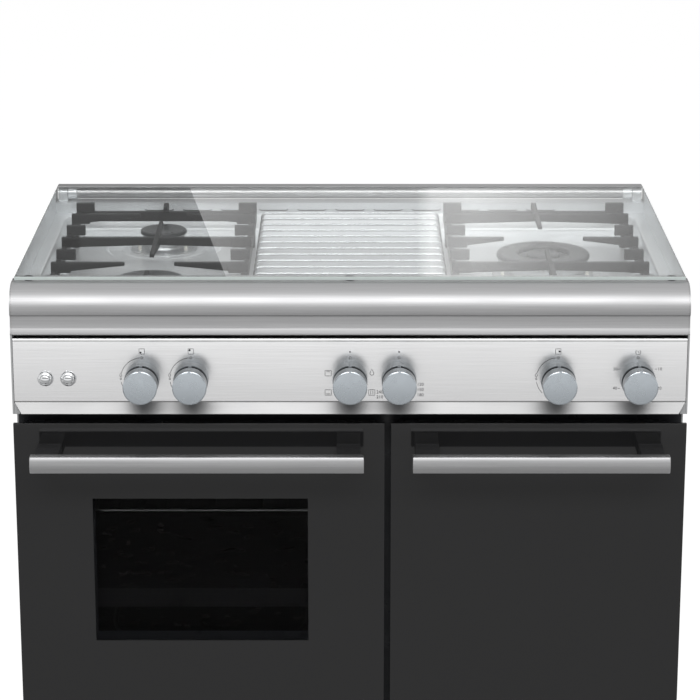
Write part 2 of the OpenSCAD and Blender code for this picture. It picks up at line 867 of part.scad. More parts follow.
module hob_tray() {
  place("#dcdee0") {
    difference() {
      union() {
        block(-in_x, in_x, rail_d, body_d, ledge_z - sheet_t, ledge_z);
        for (s = [-1, 1]) {
          block(min(s * in_x, s * (in_x - sheet_t)), max(s * in_x, s * (in_x - sheet_t)),
                rail_d, rear_wall_d, ledge_z - sheet_t, side_top);
        }
        block(-in_x, in_x, rail_d, rail_d + sheet_t, ledge_z - sheet_t, side_top);
        well_shape(sheet_t);
      }
      well_shape(0);
      block(-well_half, well_half, well_front_d + well_r, well_rear_d - well_r,
            ledge_z - skin, ledge_z + cut);
      block(well_r - well_half, well_half - well_r, well_front_d, well_rear_d,
            ledge_z - skin, ledge_z + cut);
      for (b = burners) {
        rod_z(b[0], b[1], deck_z - 2 * sheet_t, deck_z + cut, dish_r + dish_rim / 2);
      }
      for (s = [-1, 1]) {
        for (y = [well_front_d + well_r, well_rear_d - well_r]) {
          rod_z(s * (well_half - well_r), y, ledge_z - skin, ledge_z + cut, well_r);
        }
      }
    }
    for (b = burners) {
      dish(b);
    }
  }
}

flare_turn = 30;
rail_chamfer = 3;

// Outer line of the rail, moved inwards by t
function rail_line(t) = concat(
  [[rail_d, rail_top - t]],
  arc(roll_r, rail_top - roll_r, roll_r - t, 90, 180 + asin((crease_drop - roll_r) / roll_r), 24),
  arc(crease_d - flare_r, rail_top - crease_drop, flare_r + t, 0, -flare_turn, 10),
  [[play + t, rail_bottom + rail_chamfer], [rail_chamfer + t / 2, rail_bottom + t],
   [rail_return, rail_bottom + t]]
);

module front_rail() {
  end_t = 2;
  back_lip = 24;
  place(steel) {
    along_x(-side_x, side_x) {
      polygon(concat(rail_line(0), reversed(rail_line(sheet_t))));
    }
    for (x = [-side_x, side_x - end_t]) {
      along_x(x, x + end_t) polygon(concat(rail_line(0), [[rail_d, rail_bottom]]));
    }
    block(-side_x, side_x, rail_d - sheet_t, rail_d, rail_top - back_lip, rail_top);
  }
}

// Slotted wall and shelf behind the hob
module rear_trim() {
  x = in_x - sheet_t;
  slot_rise = 2;
  place("#d6d8da") difference() {
    union() {
      block(-x, x, rear_wall_d, rear_wall_d + sheet_t, ledge_z, trim_top);
      block(-x, x, rear_wall_d, trim_back_d, trim_top - sheet_t, trim_top);
      block(-x, x, trim_back_d - sheet_t, trim_back_d, ledge_z, trim_top);
    }
    for (i = [0:slot_count - 1]) {
      translate([(i - (slot_count - 1) / 2) * slot_pitch, 0, 0]) {
        block(-slot_l / 2, slot_l / 2, rear_wall_d - cut, rear_wall_d + sheet_t + cut,
              ledge_z + slot_rise, ledge_z + slot_rise + slot_h);
      }
    }
  }
}

module lid_brackets() {
  boss_r = tube_r - play;
  pin_reach = clamp_l - 2;
  place(steel) for (s = [0, 1]) mirror([s, 0, 0]) {
    rod_x(bracket_x0, bracket_x1, lid_axis_d, lid_axis_z, boss_r);
    block(bracket_x0, bracket_x1, lid_axis_d - boss_r, lid_axis_d + boss_r - play, trim_top,
          lid_axis_z);
    rod_x(bracket_x0 - pin_reach, bracket_x0, lid_axis_d, lid_axis_z, lid_pin_r);
  }
}

module lid_glass() {
  x = side_x - lid_side_inset;
  place(clear) {
    block(-x, x, lid_front_d, strip_back_d - strip_t, glass_z, glass_top);
  }
}

// Channel on the rear edge of the glass
module lid_strip() {
  x = side_x - lid_side_inset - 1;
  place(steel) difference() {
    block(-x, x, strip_back_d - strip_w, strip_back_d, glass_z - strip_t, glass_top + strip_t);
    block(-side_x, side_x, lid_front_d, strip_back_d - strip_t, glass_z, glass_top);
  }
}

// Hinge tube with a cap on each end that turns on the bracket pins
module lid_tube() {
  place(satin) {
    difference() {
      rod_x(-tube_end_x, tube_end_x, lid_axis_d, lid_axis_z, tube_r);
      rod_x(-tube_end_x - cut, tube_end_x + cut, lid_axis_d, lid_axis_z, tube_r - tube_wall);
    }
    for (s = [0, 1]) mirror([s, 0, 0]) difference() {
      union() {
        rod_x(tube_end_x - clamp_l, tube_end_x, lid_axis_d, lid_axis_z, tube_r - tube_wall);
        difference() {
          rod_x(tube_end_x - clamp_l, tube_end_x, lid_axis_d, lid_axis_z, clamp_r);
          rod_x(tube_end_x - clamp_l - cut, tube_end_x + cut, lid_axis_d, lid_axis_z, tube_r);
          block(tube_end_x - clamp_l - cut, tube_end_x + cut, lid_axis_d - 2 * clamp_r,
                lid_axis_d + 2 * clamp_r, glass_z - strip_t, glass_top);
        }
      }
      rod_x(tube_end_x - clamp_l - cut, tube_end_x + cut, lid_axis_d, lid_axis_z,
            lid_pin_r + run);
    }
  }
}

// Grates

// Bar from the edge of the grate towards its centre, narrower at the tip
module finger(l) {
  translate([0, 0, grate_top - bar_h]) linear_extrude(bar_h) {
    polygon([[0, -bar_t / 2], [l, -tip_t / 2], [l, tip_t / 2], [0, bar_t / 2]]);
  }
}

module grate_frame() {
  y0 = -3 * bar_pitch - bar_t / 2;
  y1 = 3 * bar_pitch + bar_t / 2;
  z0 = grate_top - bar_h - frame_drop;
  for (s = [0, 1]) mirror([s, 0, 0]) {
    block(grate_half - bar_t, grate_half, y0, y1, z0, frame_top);
    for (k = [-3:3]) {
      translate([0, k * bar_pitch, 0]) {
        block(grate_half - end_l, grate_half, -bar_t / 2, bar_t / 2, grate_top - bar_h, grate_top);
      }
    }
    for (k = [-2, 2]) {
      translate([0, k * bar_pitch, 0]) {
        block(grate_half - bar_t, grate_half, -bar_t / 2, bar_t / 2, deck_z, frame_top);
      }
    }
  }
  for (y = [y0, y1 - bar_t]) {
    block(-grate_half, grate_half, y, y + bar_t, z0, frame_top);
  }
}

module side_fingers(k, gap) {
  for (s = [0, 1]) mirror([s, 0, 0]) {
    translate([grate_half, k * bar_pitch, 0]) mirror([1, 0, 0]) finger(grate_half - gap);
  }
}

module full_bar(k) {
  translate([0, k * bar_pitch, 0]) {
    block(-grate_half, grate_half, -bar_t / 2, bar_t / 2, grate_top - bar_h, grate_top);
  }
}

// Finger along the depth, from the front or rear frame to the tip
module deep_finger(from, to) {
  translate([0, from, 0]) rotate([0, 0, to > from ? tilt : -tilt]) finger(abs(to - from));
}

module grate_left() {
  end_y = 3 * bar_pitch;
  burner_y = 2 * bar_pitch;
  far_gap = tip_gap + deep_tip_extra;
  place("#2e3032") translate([-grate_x, grate_d, 0]) {
    grate_frame();
    full_bar(0);
    side_fingers(2, tip_gap);
    side_fingers(-2, tip_gap);
    for (s = [-1, 1]) {
      deep_finger(s * end_y, s * (burner_y + far_gap));
      deep_finger(0, s * (burner_y - far_gap));
    }
  }
}

module grate_right() {
  end_y = 3 * bar_pitch;
  place("#2e3032") translate([grate_x, grate_d, 0]) {
    grate_frame();
    full_bar(2);
    full_bar(-2);
    side_fingers(0, ring_tip_gap);
    for (s = [-1, 1]) {
      deep_finger(s * end_y, s * (ring_tip_gap + deep_tip_extra));
    }
  }
}

module wire_rack() {
  rack_half = grate_mid_gap - rack_gap;
  z = grate_top - wire_drop - wire_r;
  low_z = z - wire_end;
  leg_r = wire_r - 0.3;
  y0 = grate_d - wire_pitch * (wire_count - 1) / 2;
  y1 = y0 + wire_pitch * (wire_count - 1);
  place("#d5d8da") {
    for (i = [0:wire_count - 1]) {
      rod_x(-rack_half - wire_r, rack_half + wire_r, y0 + i * wire_pitch, z, wire_r);
      for (s = [-1, 1]) {
        rod_z(s * rack_half, y0 + i * wire_pitch, low_z, z, leg_r);
      }
    }
    for (s = [-1, 1]) {
      rod_y(s * rack_half, y0 - 2 * wire_r, y1 + 2 * wire_r, low_z, wire_r);
      for (y = [y0 + wire_pitch, y1 - wire_pitch]) {
        rod_z(s * rack_half, y, deck_z, low_z, leg_r);
      }
    }
  }
}

// Burners

module burner_cups() {
  place("#9fa3a6") for (b = burners) translate([b[0], b[1], 0]) {
    cup_r = b[2] - cup_inset;
    rod_z(0, 0, dish_z - sheet_t - cup_h, dish_z - sheet_t, cup_r);
    rod_z(0, 0, dish_z - sheet_t, head_z, cup_r - cup_step);
  }
}

module plain_head(b) {
  r = b[2] - head_chamfer;
  translate([b[0], b[1], 0]) rotate_extrude() polygon([
    [0, head_z], [r - head_step, head_z], [r, head_z + head_chamfer], [r, head_top], [0, head_top]
  ]);
}

// Outer ring and inner head of the ring burner, joined by three arms
module ring_head() {
  out_r = ring_cap_r - head_step;
  in_r = ring_in_r + head_step;
  inner_r = centre_cap_r - head_chamfer;
  arm_h = 4;
  arm_half = 5;
  translate([ring_burner[0], ring_burner[1], 0]) {
    rotate_extrude() {
      polygon([[in_r, head_z], [out_r - head_step, head_z], [out_r, head_z + head_chamfer],
               [out_r, head_top], [in_r, head_top]]);
    }
    rod_z(0, 0, head_z, head_top, inner_r);
    for (a = [90, 210, 330]) rotate([0, 0, a]) {
      block(inner_r - head_step, in_r + head_step, -arm_half, arm_half, head_z, head_z + arm_h);
    }
  }
}

module burner_heads() {
  place("#b9bcbe") {
    plain_head(rear_burner);
    plain_head(front_burner);
    ring_head();
  }
}

// Cap outline from radius a to b with rounded upper edges
module cap_ring(a, b) {
  e = cap_h / 2;
  rotate_extrude() polygon(concat(
    [[a, head_top], [b, head_top]],
    arc(b - e, cap_top - e, e, 0, 90, 6),
    a > 0 ? arc(a + e, cap_top - e, e, 90, 180, 6) : [[0, cap_top]]
  ));
}

module burner_caps() {
  place("#26282b") {
    translate([rear_burner[0], rear_burner[1], 0]) cap_ring(0, rear_cap_r);
    translate([front_burner[0], front_burner[1], 0]) cap_ring(0, front_cap_r);
    translate([ring_burner[0], ring_burner[1], 0]) {
      cap_ring(ring_in_r, ring_cap_r);
      cap_ring(0, centre_cap_r);
    }
  }
}

// Spark plug and flame sensor beside each burner
module burner_probes() {
  place("#e8e6df") for (b = burners) translate([b[0], b[1], 0]) {
    for (a = [215, 325]) rotate([0, 0, a]) {
      rod_z(b[2] + probe_gap, 0, dish_z, head_top, probe_r);
    }
  }
}

// Gas and electrics

// Square rail across the front, a run to the rear and the inlet stub
module gas_rail_run() {
  x1 = side_x - inlet_inset;
  half = gas_rail / 2;
  end_d = back_d - rail_end_gap;
  post_x = burner_knob_x - rail_reach;
  union() {
    block(-burner_knob_x - rail_reach, x1 + half, gas_rail_d - half, gas_rail_d + half,
          gas_rail_z - half, gas_rail_z + half);
    block(x1 - half, x1 + half, gas_rail_d, end_d, gas_rail_z - half, gas_rail_z + half);
    rod_y(x1, end_d - cut, back_d + cut, gas_rail_z, inlet_neck_r);
    rod_y(x1, back_d + cut, back_d + inlet_l, gas_rail_z, inlet_r);
    for (x = [-post_x, post_x]) {
      block(x - rail_post, x + rail_post, gas_rail_d - half, gas_rail_d + half, panel_bottom,
            gas_rail_z - half);
    }
  }
}

module gas_taps() {
  place("#b09a52") difference() {
    for (i = [0, 1, 4]) {
      rod_y(knob_x[i], tap_d, tap_d + tap_l, knob_z, tap_r);
      block(knob_x[i] - tap_r / 2, knob_x[i] + tap_r / 2, gas_rail_d - gas_rail / 2,
            gas_rail_d + gas_rail / 2, gas_rail_z + gas_rail / 2, knob_z);
    }
    for (i = [0, 1, 4]) {
      rod_y(knob_x[i], tap_d - cut, tap_d + spindle_depth + knob_push + play, knob_z,
            spindle_r + run);
    }
  }
}

// Gas rail, and the pipes from the taps to the burner cups
module gas_pipes() {
  cup_bottom = dish_z - sheet_t - cup_h;
  start = tap_d + tap_l;
  rear_x = knob_x[1];
  place("#b8733a") {
    gas_rail_run();
    for (b = [front_burner, ring_burner]) {
      rod_y(b[0], start, b[1], knob_z, pipe_r);
      translate([b[0], b[1], knob_z]) sphere(pipe_r, $fn = 32);
      rod_z(b[0], b[1], knob_z, cup_bottom, pipe_r);
    }
    rod_y(rear_x, start, rear_burner[1], knob_z, pipe_r);
    translate([rear_x, rear_burner[1], knob_z]) sphere(pipe_r, $fn = 32);
    rod_x(rear_burner[0], rear_x, rear_burner[1], knob_z, pipe_r);
    translate([rear_burner[0], rear_burner[1], knob_z]) sphere(pipe_r, $fn = 32);
    rod_z(rear_burner[0], rear_burner[1], knob_z, cup_bottom, pipe_r);
  }
}

// Grommet for the mains lead in the back panel
module grommet() {
  x = inlet_inset - side_x;
  neck_d = back_d - sheet_t - grommet_neck_l;
  difference() {
    union() {
      rod_y(x, back_d, back_d + grommet_l, gas_rail_z, gland_r);
      rod_y(x, neck_d, back_d, gas_rail_z, gland_neck_r);
    }
    rod_y(x, neck_d - cut, back_d + grommet_l + cut, gas_rail_z, gland_hole_r);
  }
}

// Control panel

function panel_line(t) = [
  [panel_return, panel_top - t], [t, panel_top - t], [t, panel_bottom + t],
  [panel_return, panel_bottom + t]
];

// Lip that flares forward under the face, with its corners cut in
module panel_lip(x) {
  t = sheet_t;
  low = fold_z - panel_lip_h;
  difference() {
    along_x(-x, x) polygon([
      [t / 2, fold_z], [0, fold_z], [-panel_lip_out, low + t], [-panel_lip_out, low],
      [t / 2 - panel_lip_out, low], [0, fold_z - 2 * t], [t / 2, fold_z - 2 * t]
    ]);
    for (s = [0, 1]) mirror([s, 0, 0]) {
      translate([0, t, 0]) rotate([90, 0, 0]) {
        linear_extrude(panel_lip_out + 2 * t) polygon([
          [x - panel_mitre, low - cut], [x + cut, low - cut], [x + cut, fold_z], [x, fold_z],
          [x - panel_mitre, low]
        ]);
      }
    }
  }
}

module control_panel() {
  x = in_x - panel_side_gap;
  place("#dfe1e2") difference() {
    union() {
      along_x(-x, x) polygon(concat(panel_line(0), reversed(panel_line(sheet_t))));
      panel_lip(x);
    }
    for (x = knob_x) {
      rod_y(x, -cut, 2 * sheet_t, knob_z, spindle_hole_r);
    }
    for (x = button_x) {
      rod_y(x, -cut, 2 * sheet_t, knob_z, button_stem_r + play);
    }
  }
}

// Fixed collars behind the knobs and bezels around the buttons
module panel_bezels() {
  bevel = 1;
  place(satin) {
    for (x = knob_x) translate([x, 0, knob_z]) rotate([tilt, 0, 0]) {
      rotate_extrude() polygon([
        [collar_r - collar_wall, 0], [collar_r, 0], [collar_r, collar_l], [spindle_hole_r, collar_l],
        [spindle_hole_r, collar_l - collar_wall], [collar_r - collar_wall, collar_l - collar_wall]
      ]);
    }
    for (x = button_x) translate([x, 0, knob_z]) rotate([tilt, 0, 0]) {
      rotate_extrude() polygon([
        [button_r + seat, 0], [bezel_r, 0], [bezel_r, bezel_h / 2], [bezel_r - bevel, bezel_h],
        [button_r + seat, bezel_h]
      ]);
    }
  }
}

// Bodies of the selector, thermostat, timer and button switches
module switch_bodies() {
  front = collar_l + knob_gap + spindle_seat - play;
  place("#d9d4c4") {
    for (i = [2, 3, 5]) {
      block(knob_x[i] - switch_half, knob_x[i] + switch_half, sheet_t, switch_l,
            knob_z - switch_half, knob_z + switch_half);
      rod_y(knob_x[i], -front, sheet_t, knob_z, spindle_r);
    }
    for (x = button_x) difference() {
      block(x - push_switch_half, x + push_switch_half, sheet_t, push_switch_l,
            knob_z - push_switch_rise, knob_z + push_switch_rise);
      rod_y(x, 0, sheet_t + button_stem_l + button_travel + play, knob_z, button_stem_r + play);
    }
  }
}

// Knob with a bore for its spindle and a pointer on its face
module knob(i) {
  back = collar_l + knob_gap;
  face = back + knob_l;
  place(satin) translate([knob_x[i], 0, knob_z]) rotate([tilt, 0, 0]) {
    difference() {
      rotate_extrude($fn = 96) polygon([
        [0, back], [knob_r - 1, back], [knob_r, back + 1], [knob_face_r, face - knob_bevel],
        [knob_face_r - knob_bevel, face], [0, face]
      ]);
      translate([0, 0, back - cut]) cylinder(r = spindle_r + run, h = spindle_seat + cut);
    }
    block(-pointer_w / 2, pointer_w / 2, knob_face_r - pointer_inset - pointer_l,
          knob_face_r - pointer_inset, face, face + pointer_h);
  }
}

module knob_1() { knob(0); }
module knob_2() { knob(1); }
module knob_3() { knob(2); }
module knob_4() { knob(3); }
module knob_5() { knob(4); }
module knob_6() { knob(5); }

// Sprung spindle of a gas tap, which is pushed in to turn the gas on
module tap_spindle(i) {
  front = -(collar_l + knob_gap + spindle_seat - play);
  place("#c2a95a") rod_y(knob_x[i], front, tap_d + spindle_depth, knob_z, spindle_r);
}

module tap_spindle_1() { tap_spindle(0); }
module tap_spindle_2() { tap_spindle(1); }
module tap_spindle_5() { tap_spindle(4); }

module button(x) {
  rim = button_l - button_dome;
  place("#d8dadc") translate([x, 0, knob_z]) rotate([tilt, 0, 0]) {
    rotate_extrude() polygon(concat(
      [[0, button_travel + seat], [button_r, button_travel + seat]],
      [for (a = [0:10:90]) [button_r * cos(a), rim + button_dome * sin(a)]]
    ));
    translate([0, 0, -sheet_t - button_stem_l]) {
      cylinder(r = button_stem_r, h = button_stem_l + sheet_t + button_travel + play);
    }
  }
}

module button_lamp() { button(button_x[0]); }
module button_spark() { button(button_x[1]); }

// Doors

// Arm from the face frame with a pin along local +Z
module hinge_bracket() {
  rod_z(0, hinge_d, 0, knuckle_w, boss_r);
  block(-hinge_pin_r, hinge_pin_r, hinge_d, face_d, 0, knuckle_w);
  rod_z(0, hinge_d, knuckle_w, knuckle_w + pin_l, hinge_pin_r);
}

// Eye on the door that turns on the pin
module hinge_knuckle() {
  difference() {
    union() {
      rod_z(0, hinge_d, knuckle_w + play, 2 * knuckle_w, boss_r + play);
      block(-frame_clear, 0, hinge_d - hinge_pin_r, hinge_d + hinge_pin_r, knuckle_w + play,
            2 * knuckle_w);
    }
    rod_z(0, hinge_d, knuckle_w, 2 * knuckle_w + cut, hinge_pin_r + run);
  }
}

// Puts a hinge part at both ends of the oven door's lower edge
module at_oven_hinges() {
  half = door_mid_x + side_x;
  for (s = [0, 1]) translate([door_mid_x, 0, oven_hinge_z]) mirror([s, 0, 0]) {
    translate([oven_hinge_inset - half, 0, 0]) rotate([0, tilt, 0]) children();
  }
}

// Puts a hinge part near the top and bottom of the storage door's right edge
module at_store_hinges() {
  top_z = door_top - store_hinge_inset - 2 * knuckle_w;
  for (z = [door_bottom + store_hinge_inset, top_z]) {
    translate([store_hinge_x, 0, z]) children();
  }
}

module door_hinge_pins() {
  place("#8e9092") {
    at_oven_hinges() hinge_bracket();
    at_store_hinges() hinge_bracket();
  }
}

module oven_door_glass() {
  place(black) block(-side_x, left_door_x1, 0, door_glass_t, oven_door_bottom, door_top);
}

module oven_door_frame() {
  half = door_mid_x + side_x - door_frame_inset;
  place("#55585b") {
    difference() {
      pan(door_mid_x - half, door_mid_x + half, door_glass_t, door_frame_d,
          oven_hinge_z + frame_clear, door_top - door_frame_inset / 2, sheet_t);
      block(door_mid_x - window_w / 2, door_mid_x + window_w / 2, door_glass_t, door_frame_d + cut,
            window_bottom, window_top);
    }
    at_oven_hinges() hinge_knuckle();
  }
}

module oven_door_inner_glass() {
  half = oven_w / 2 + glass_edge;
  place([0.25, 0.25, 0.25, 0.5]) {
    block(door_mid_x - half, door_mid_x + half, door_frame_d, door_frame_d + inner_glass_t,
          oven_z - glass_edge, oven_top + glass_edge);
  }
}

// Handle bar between x0 and x1 on two brackets
module handle(x0, x1) {
  r = handle_bar_d / 2;
  bar_d = -handle_out + r;
  dz = handle_bar_h / 2 - r;
  for (z = [handle_z - dz, handle_z + dz]) {
    rod_x(x0, x1, bar_d, z, r);
  }
  block(x0, x1, -handle_out, -handle_out + handle_bar_d, handle_z - dz, handle_z + dz);
  for (x = [x0 + bracket_inset, x1 - bracket_inset - bracket_w]) {
    block(x, x + bracket_w, bar_d, 0, handle_z - dz, handle_z + handle_bar_h / 2);
  }
}

module oven_handle() {
  place(steel) handle(-side_x + handle_inset, left_door_x1 - handle_inset);
}

module store_door_glass() {
  place(black) {
    block(right_door_x0, side_x, 0, door_glass_t, door_bottom, door_top);
  }
}

module store_handle() {
  place(steel) handle(right_door_x0 + handle_inset, side_x - handle_inset);
}

module store_door_panel() {
  place("#55585b") {
    pan(right_door_x0 + door_frame_inset, store_hinge_x - frame_clear, door_glass_t, door_frame_d,
        door_bottom + door_frame_inset, door_top - door_frame_inset / 2, sheet_t);
    at_store_hinges() hinge_knuckle();
  }
}

// Drawer

module drawer_front() {
  place(black) difference() {
    block(-side_x, left_door_x1, 0, drawer_front_t, door_bottom, drawer_top);
    block(-side_x + sheet_t, left_door_x1 - sheet_t, sheet_t, drawer_front_t - sheet_t,
          door_bottom + sheet_t, drawer_top - sheet_t);
    block(-side_x + drawer_return, left_door_x1 - drawer_return, sheet_t, drawer_front_t + cut,
          door_bottom + drawer_return, drawer_top - drawer_return);
  }
}

// Open box with a rail on each side that rides on the runners
module drawer_box() {
  rail_clear = 5;
  rail_t = 5;
  rail_w = runner_w - rail_clear;
  half = bay_half - runner_w - play;
  place("#8b8e91") translate([bay_mid_x, 0, 0]) {
    difference() {
      block(-half, half, drawer_front_t, drawer_back_d, drawer_z, drawer_z + drawer_box_h);
      block(-half + sheet_t, half - sheet_t, drawer_front_t + sheet_t, drawer_back_d - sheet_t,
            drawer_z + sheet_t, drawer_z + drawer_box_h + cut);
    }
    for (s = [-1, 1]) {
      block(min(s * half, s * (half + rail_w)), max(s * half, s * (half + rail_w)),
            inside_d + play, drawer_back_d, runner_top + seat, runner_top + seat + rail_t);
    }
  }
}

module drawer_runners() {
  runner_gap = 6;
  place("#8e9092") for (s = [-1, 1]) translate([bay_mid_x, 0, 0]) {
    block(min(s * bay_half, s * (bay_half - runner_w)), max(s * bay_half, s * (bay_half - runner_w)),
          inside_d, back_d - runner_gap, runner_top - runner_h, runner_top);
  }
}

side_panels();
back_panel();
base_pan();
plinth();
inner_walls();
face_frame();
heat_shield();
oven_cavity();
oven_insulation();
rubber_seals();
rack_guides();
oven_rack();
baking_tray();
oven_heaters();
oven_lamp();
hob_tray();
front_rail();
rear_trim();
lid_brackets();
grate_left();
grate_right();
wire_rack();
burner_cups();
burner_heads();
burner_caps();
burner_probes();
gas_pipes();
gas_taps();
control_panel();
panel_bezels();
switch_bodies();
door_hinge_pins();
drawer_runners();
lid_glass();
lid_strip();
lid_tube();
foot_front_left();
foot_front_right();
foot_rear_left();
foot_rear_right();
knob_1();
knob_2();
knob_3();
knob_4();
knob_5();
knob_6();
tap_spindle_1();
tap_spindle_2();
tap_spindle_5();
button_lamp();
button_spark();
oven_door_glass();
oven_door_frame();
oven_door_inner_glass();
oven_handle();
store_door_glass();
store_door_panel();
store_handle();
drawer_front();
drawer_box();
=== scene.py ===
"""Freestanding gas cooker with a glass lid: its finishes, fine shapes, studio and camera.

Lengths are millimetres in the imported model's own frame: X to the right, the depth d
behind the door faces, and the height z above the floor. Meshes are made in metres.
"""
import json
import math

import bmesh
import bpy
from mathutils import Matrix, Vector
from mathutils.geometry import tessellate_polygon

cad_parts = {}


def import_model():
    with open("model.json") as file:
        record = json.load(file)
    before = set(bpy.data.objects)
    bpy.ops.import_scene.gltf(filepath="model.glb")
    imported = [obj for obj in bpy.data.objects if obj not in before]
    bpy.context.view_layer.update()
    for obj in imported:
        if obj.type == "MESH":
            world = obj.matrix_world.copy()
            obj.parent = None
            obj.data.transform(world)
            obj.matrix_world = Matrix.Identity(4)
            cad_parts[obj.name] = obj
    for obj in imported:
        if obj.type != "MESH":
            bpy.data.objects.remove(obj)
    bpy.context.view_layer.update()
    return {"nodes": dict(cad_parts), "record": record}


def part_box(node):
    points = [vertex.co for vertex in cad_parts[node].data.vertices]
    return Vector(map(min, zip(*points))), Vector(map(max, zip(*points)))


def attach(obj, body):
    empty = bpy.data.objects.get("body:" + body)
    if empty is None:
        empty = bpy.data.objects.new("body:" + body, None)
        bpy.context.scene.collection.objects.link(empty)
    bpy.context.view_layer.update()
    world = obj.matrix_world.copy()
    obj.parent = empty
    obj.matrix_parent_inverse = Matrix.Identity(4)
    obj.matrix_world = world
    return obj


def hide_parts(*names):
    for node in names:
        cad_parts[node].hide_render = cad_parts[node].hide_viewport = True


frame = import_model()

MM = 0.001
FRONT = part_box("oven_door_glass")[0].y / MM


class Extent:
    """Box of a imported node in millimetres, with its depth behind the door faces."""

    def __init__(self, node):
        low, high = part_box(node)
        self.x0 = low.x / MM
        self.x1 = high.x / MM
        self.d0 = low.y / MM - FRONT
        self.d1 = high.y / MM - FRONT
        self.z0 = low.z / MM
        self.z1 = high.z / MM
        self.x = (self.x0 + self.x1) / 2
        self.d = (self.d0 + self.d1) / 2
        self.z = (self.z0 + self.z1) / 2


RAIL = Extent("front_rail")
PANEL = Extent("control_panel")
HOB = Extent("hob_tray")
TRIM = Extent("rear_trim")
LID = Extent("lid_glass")
STRIP = Extent("lid_strip")
TUBE = Extent("lid_tube")
BRACKETS = Extent("lid_brackets")
SIDES = Extent("side_panels")
BACK = Extent("back_panel")
OVEN_GLASS = Extent("oven_door_glass")
STORE_GLASS = Extent("store_door_glass")
DRAWER = Extent("drawer_front")
CAVITY = Extent("oven_cavity")
RACK = Extent("wire_rack")
CAPS = Extent("burner_caps")
HEADS = Extent("burner_heads")
KNOBS = [Extent("knob_%d" % i) for i in range(1, 7)]
BUTTONS = [Extent("button_lamp"), Extent("button_spark")]

KNOB_Z = KNOBS[0].z
SHEET = 1.0


# Shapes


def arc(centre_d, centre_z, radius, start, end, count):
    """Points from one angle to another, in degrees, about a centre."""
    turns = [math.radians(start + (end - start) * i / count) for i in range(count + 1)]
    return [(centre_d + radius * math.cos(t), centre_z + radius * math.sin(t)) for t in turns]


def turns(count):
    """Angles that share out one turn."""
    return [2 * math.pi * i / count for i in range(count)]


def flat_faces(loops):
    """Triangles between an outer loop and the holes in it."""
    return [list(face) for face in tessellate_polygon([[Vector((*p, 0)) for p in loop] for loop in loops])]


def rectangle(x0, x1, z0, z1):
    return [(x0, z0), (x1, z0), (x1, z1), (x0, z1)]


def thicken(line, thickness):
    """Closes an open outline with a copy of itself moved to its right side."""
    inner = []
    last = len(line) - 1
    for i, (p, q) in enumerate(line):
        before = line[max(i - 1, 0)]
        after = line[min(i + 1, last)]
        along = Vector((after[0] - before[0], after[1] - before[1])).normalized()
        inner.append((p + along.y * thickness, q - along.x * thickness))
    return line + inner[::-1]


def upright(x, d, z):
    """Places a turned shape about a vertical axis."""
    return lambda t, r, h: (x + r * math.cos(t), d + r * math.sin(t), z + h)


def facing(x, d, z):
    """Places a turned shape about an axis that points to the front."""
    return lambda t, r, h: (x + r * math.cos(t), d - h, z + r * math.sin(t))


def behind(x, d, z):
    """Places a turned shape about an axis that points to the rear."""
    return lambda t, r, h: (x - r * math.cos(t), d + h, z + r * math.sin(t))


def across(x, d, z):
    """Places a turned shape about an axis along X."""
    return lambda t, r, h: (x + h, d + r * math.cos(t), z + r * math.sin(t))


def sideways(x, d, z):
    """Places a turned shape about an axis against X."""
    return lambda t, r, h: (x - h, d - r * math.cos(t), z + r * math.sin(t))


def softened(points, radius, steps=5):
    """Rounds the inner corners of a route of points."""
    points = [Vector(p) for p in points]
    route = [points[0]]
    for before, corner, after in zip(points, points[1:], points[2:]):
        enter = (before - corner).normalized()
        leave = (after - corner).normalized()
        reach = min(radius, (before - corner).length / 2, (after - corner).length / 2)
        first = corner + enter * reach
        final = corner + leave * reach
        for i in range(steps + 1):
            s = i / steps
            route.append((first * (1 - s) + corner * s) * (1 - s) + (corner * (1 - s) + final * s) * s)
    return route + [points[-1]]


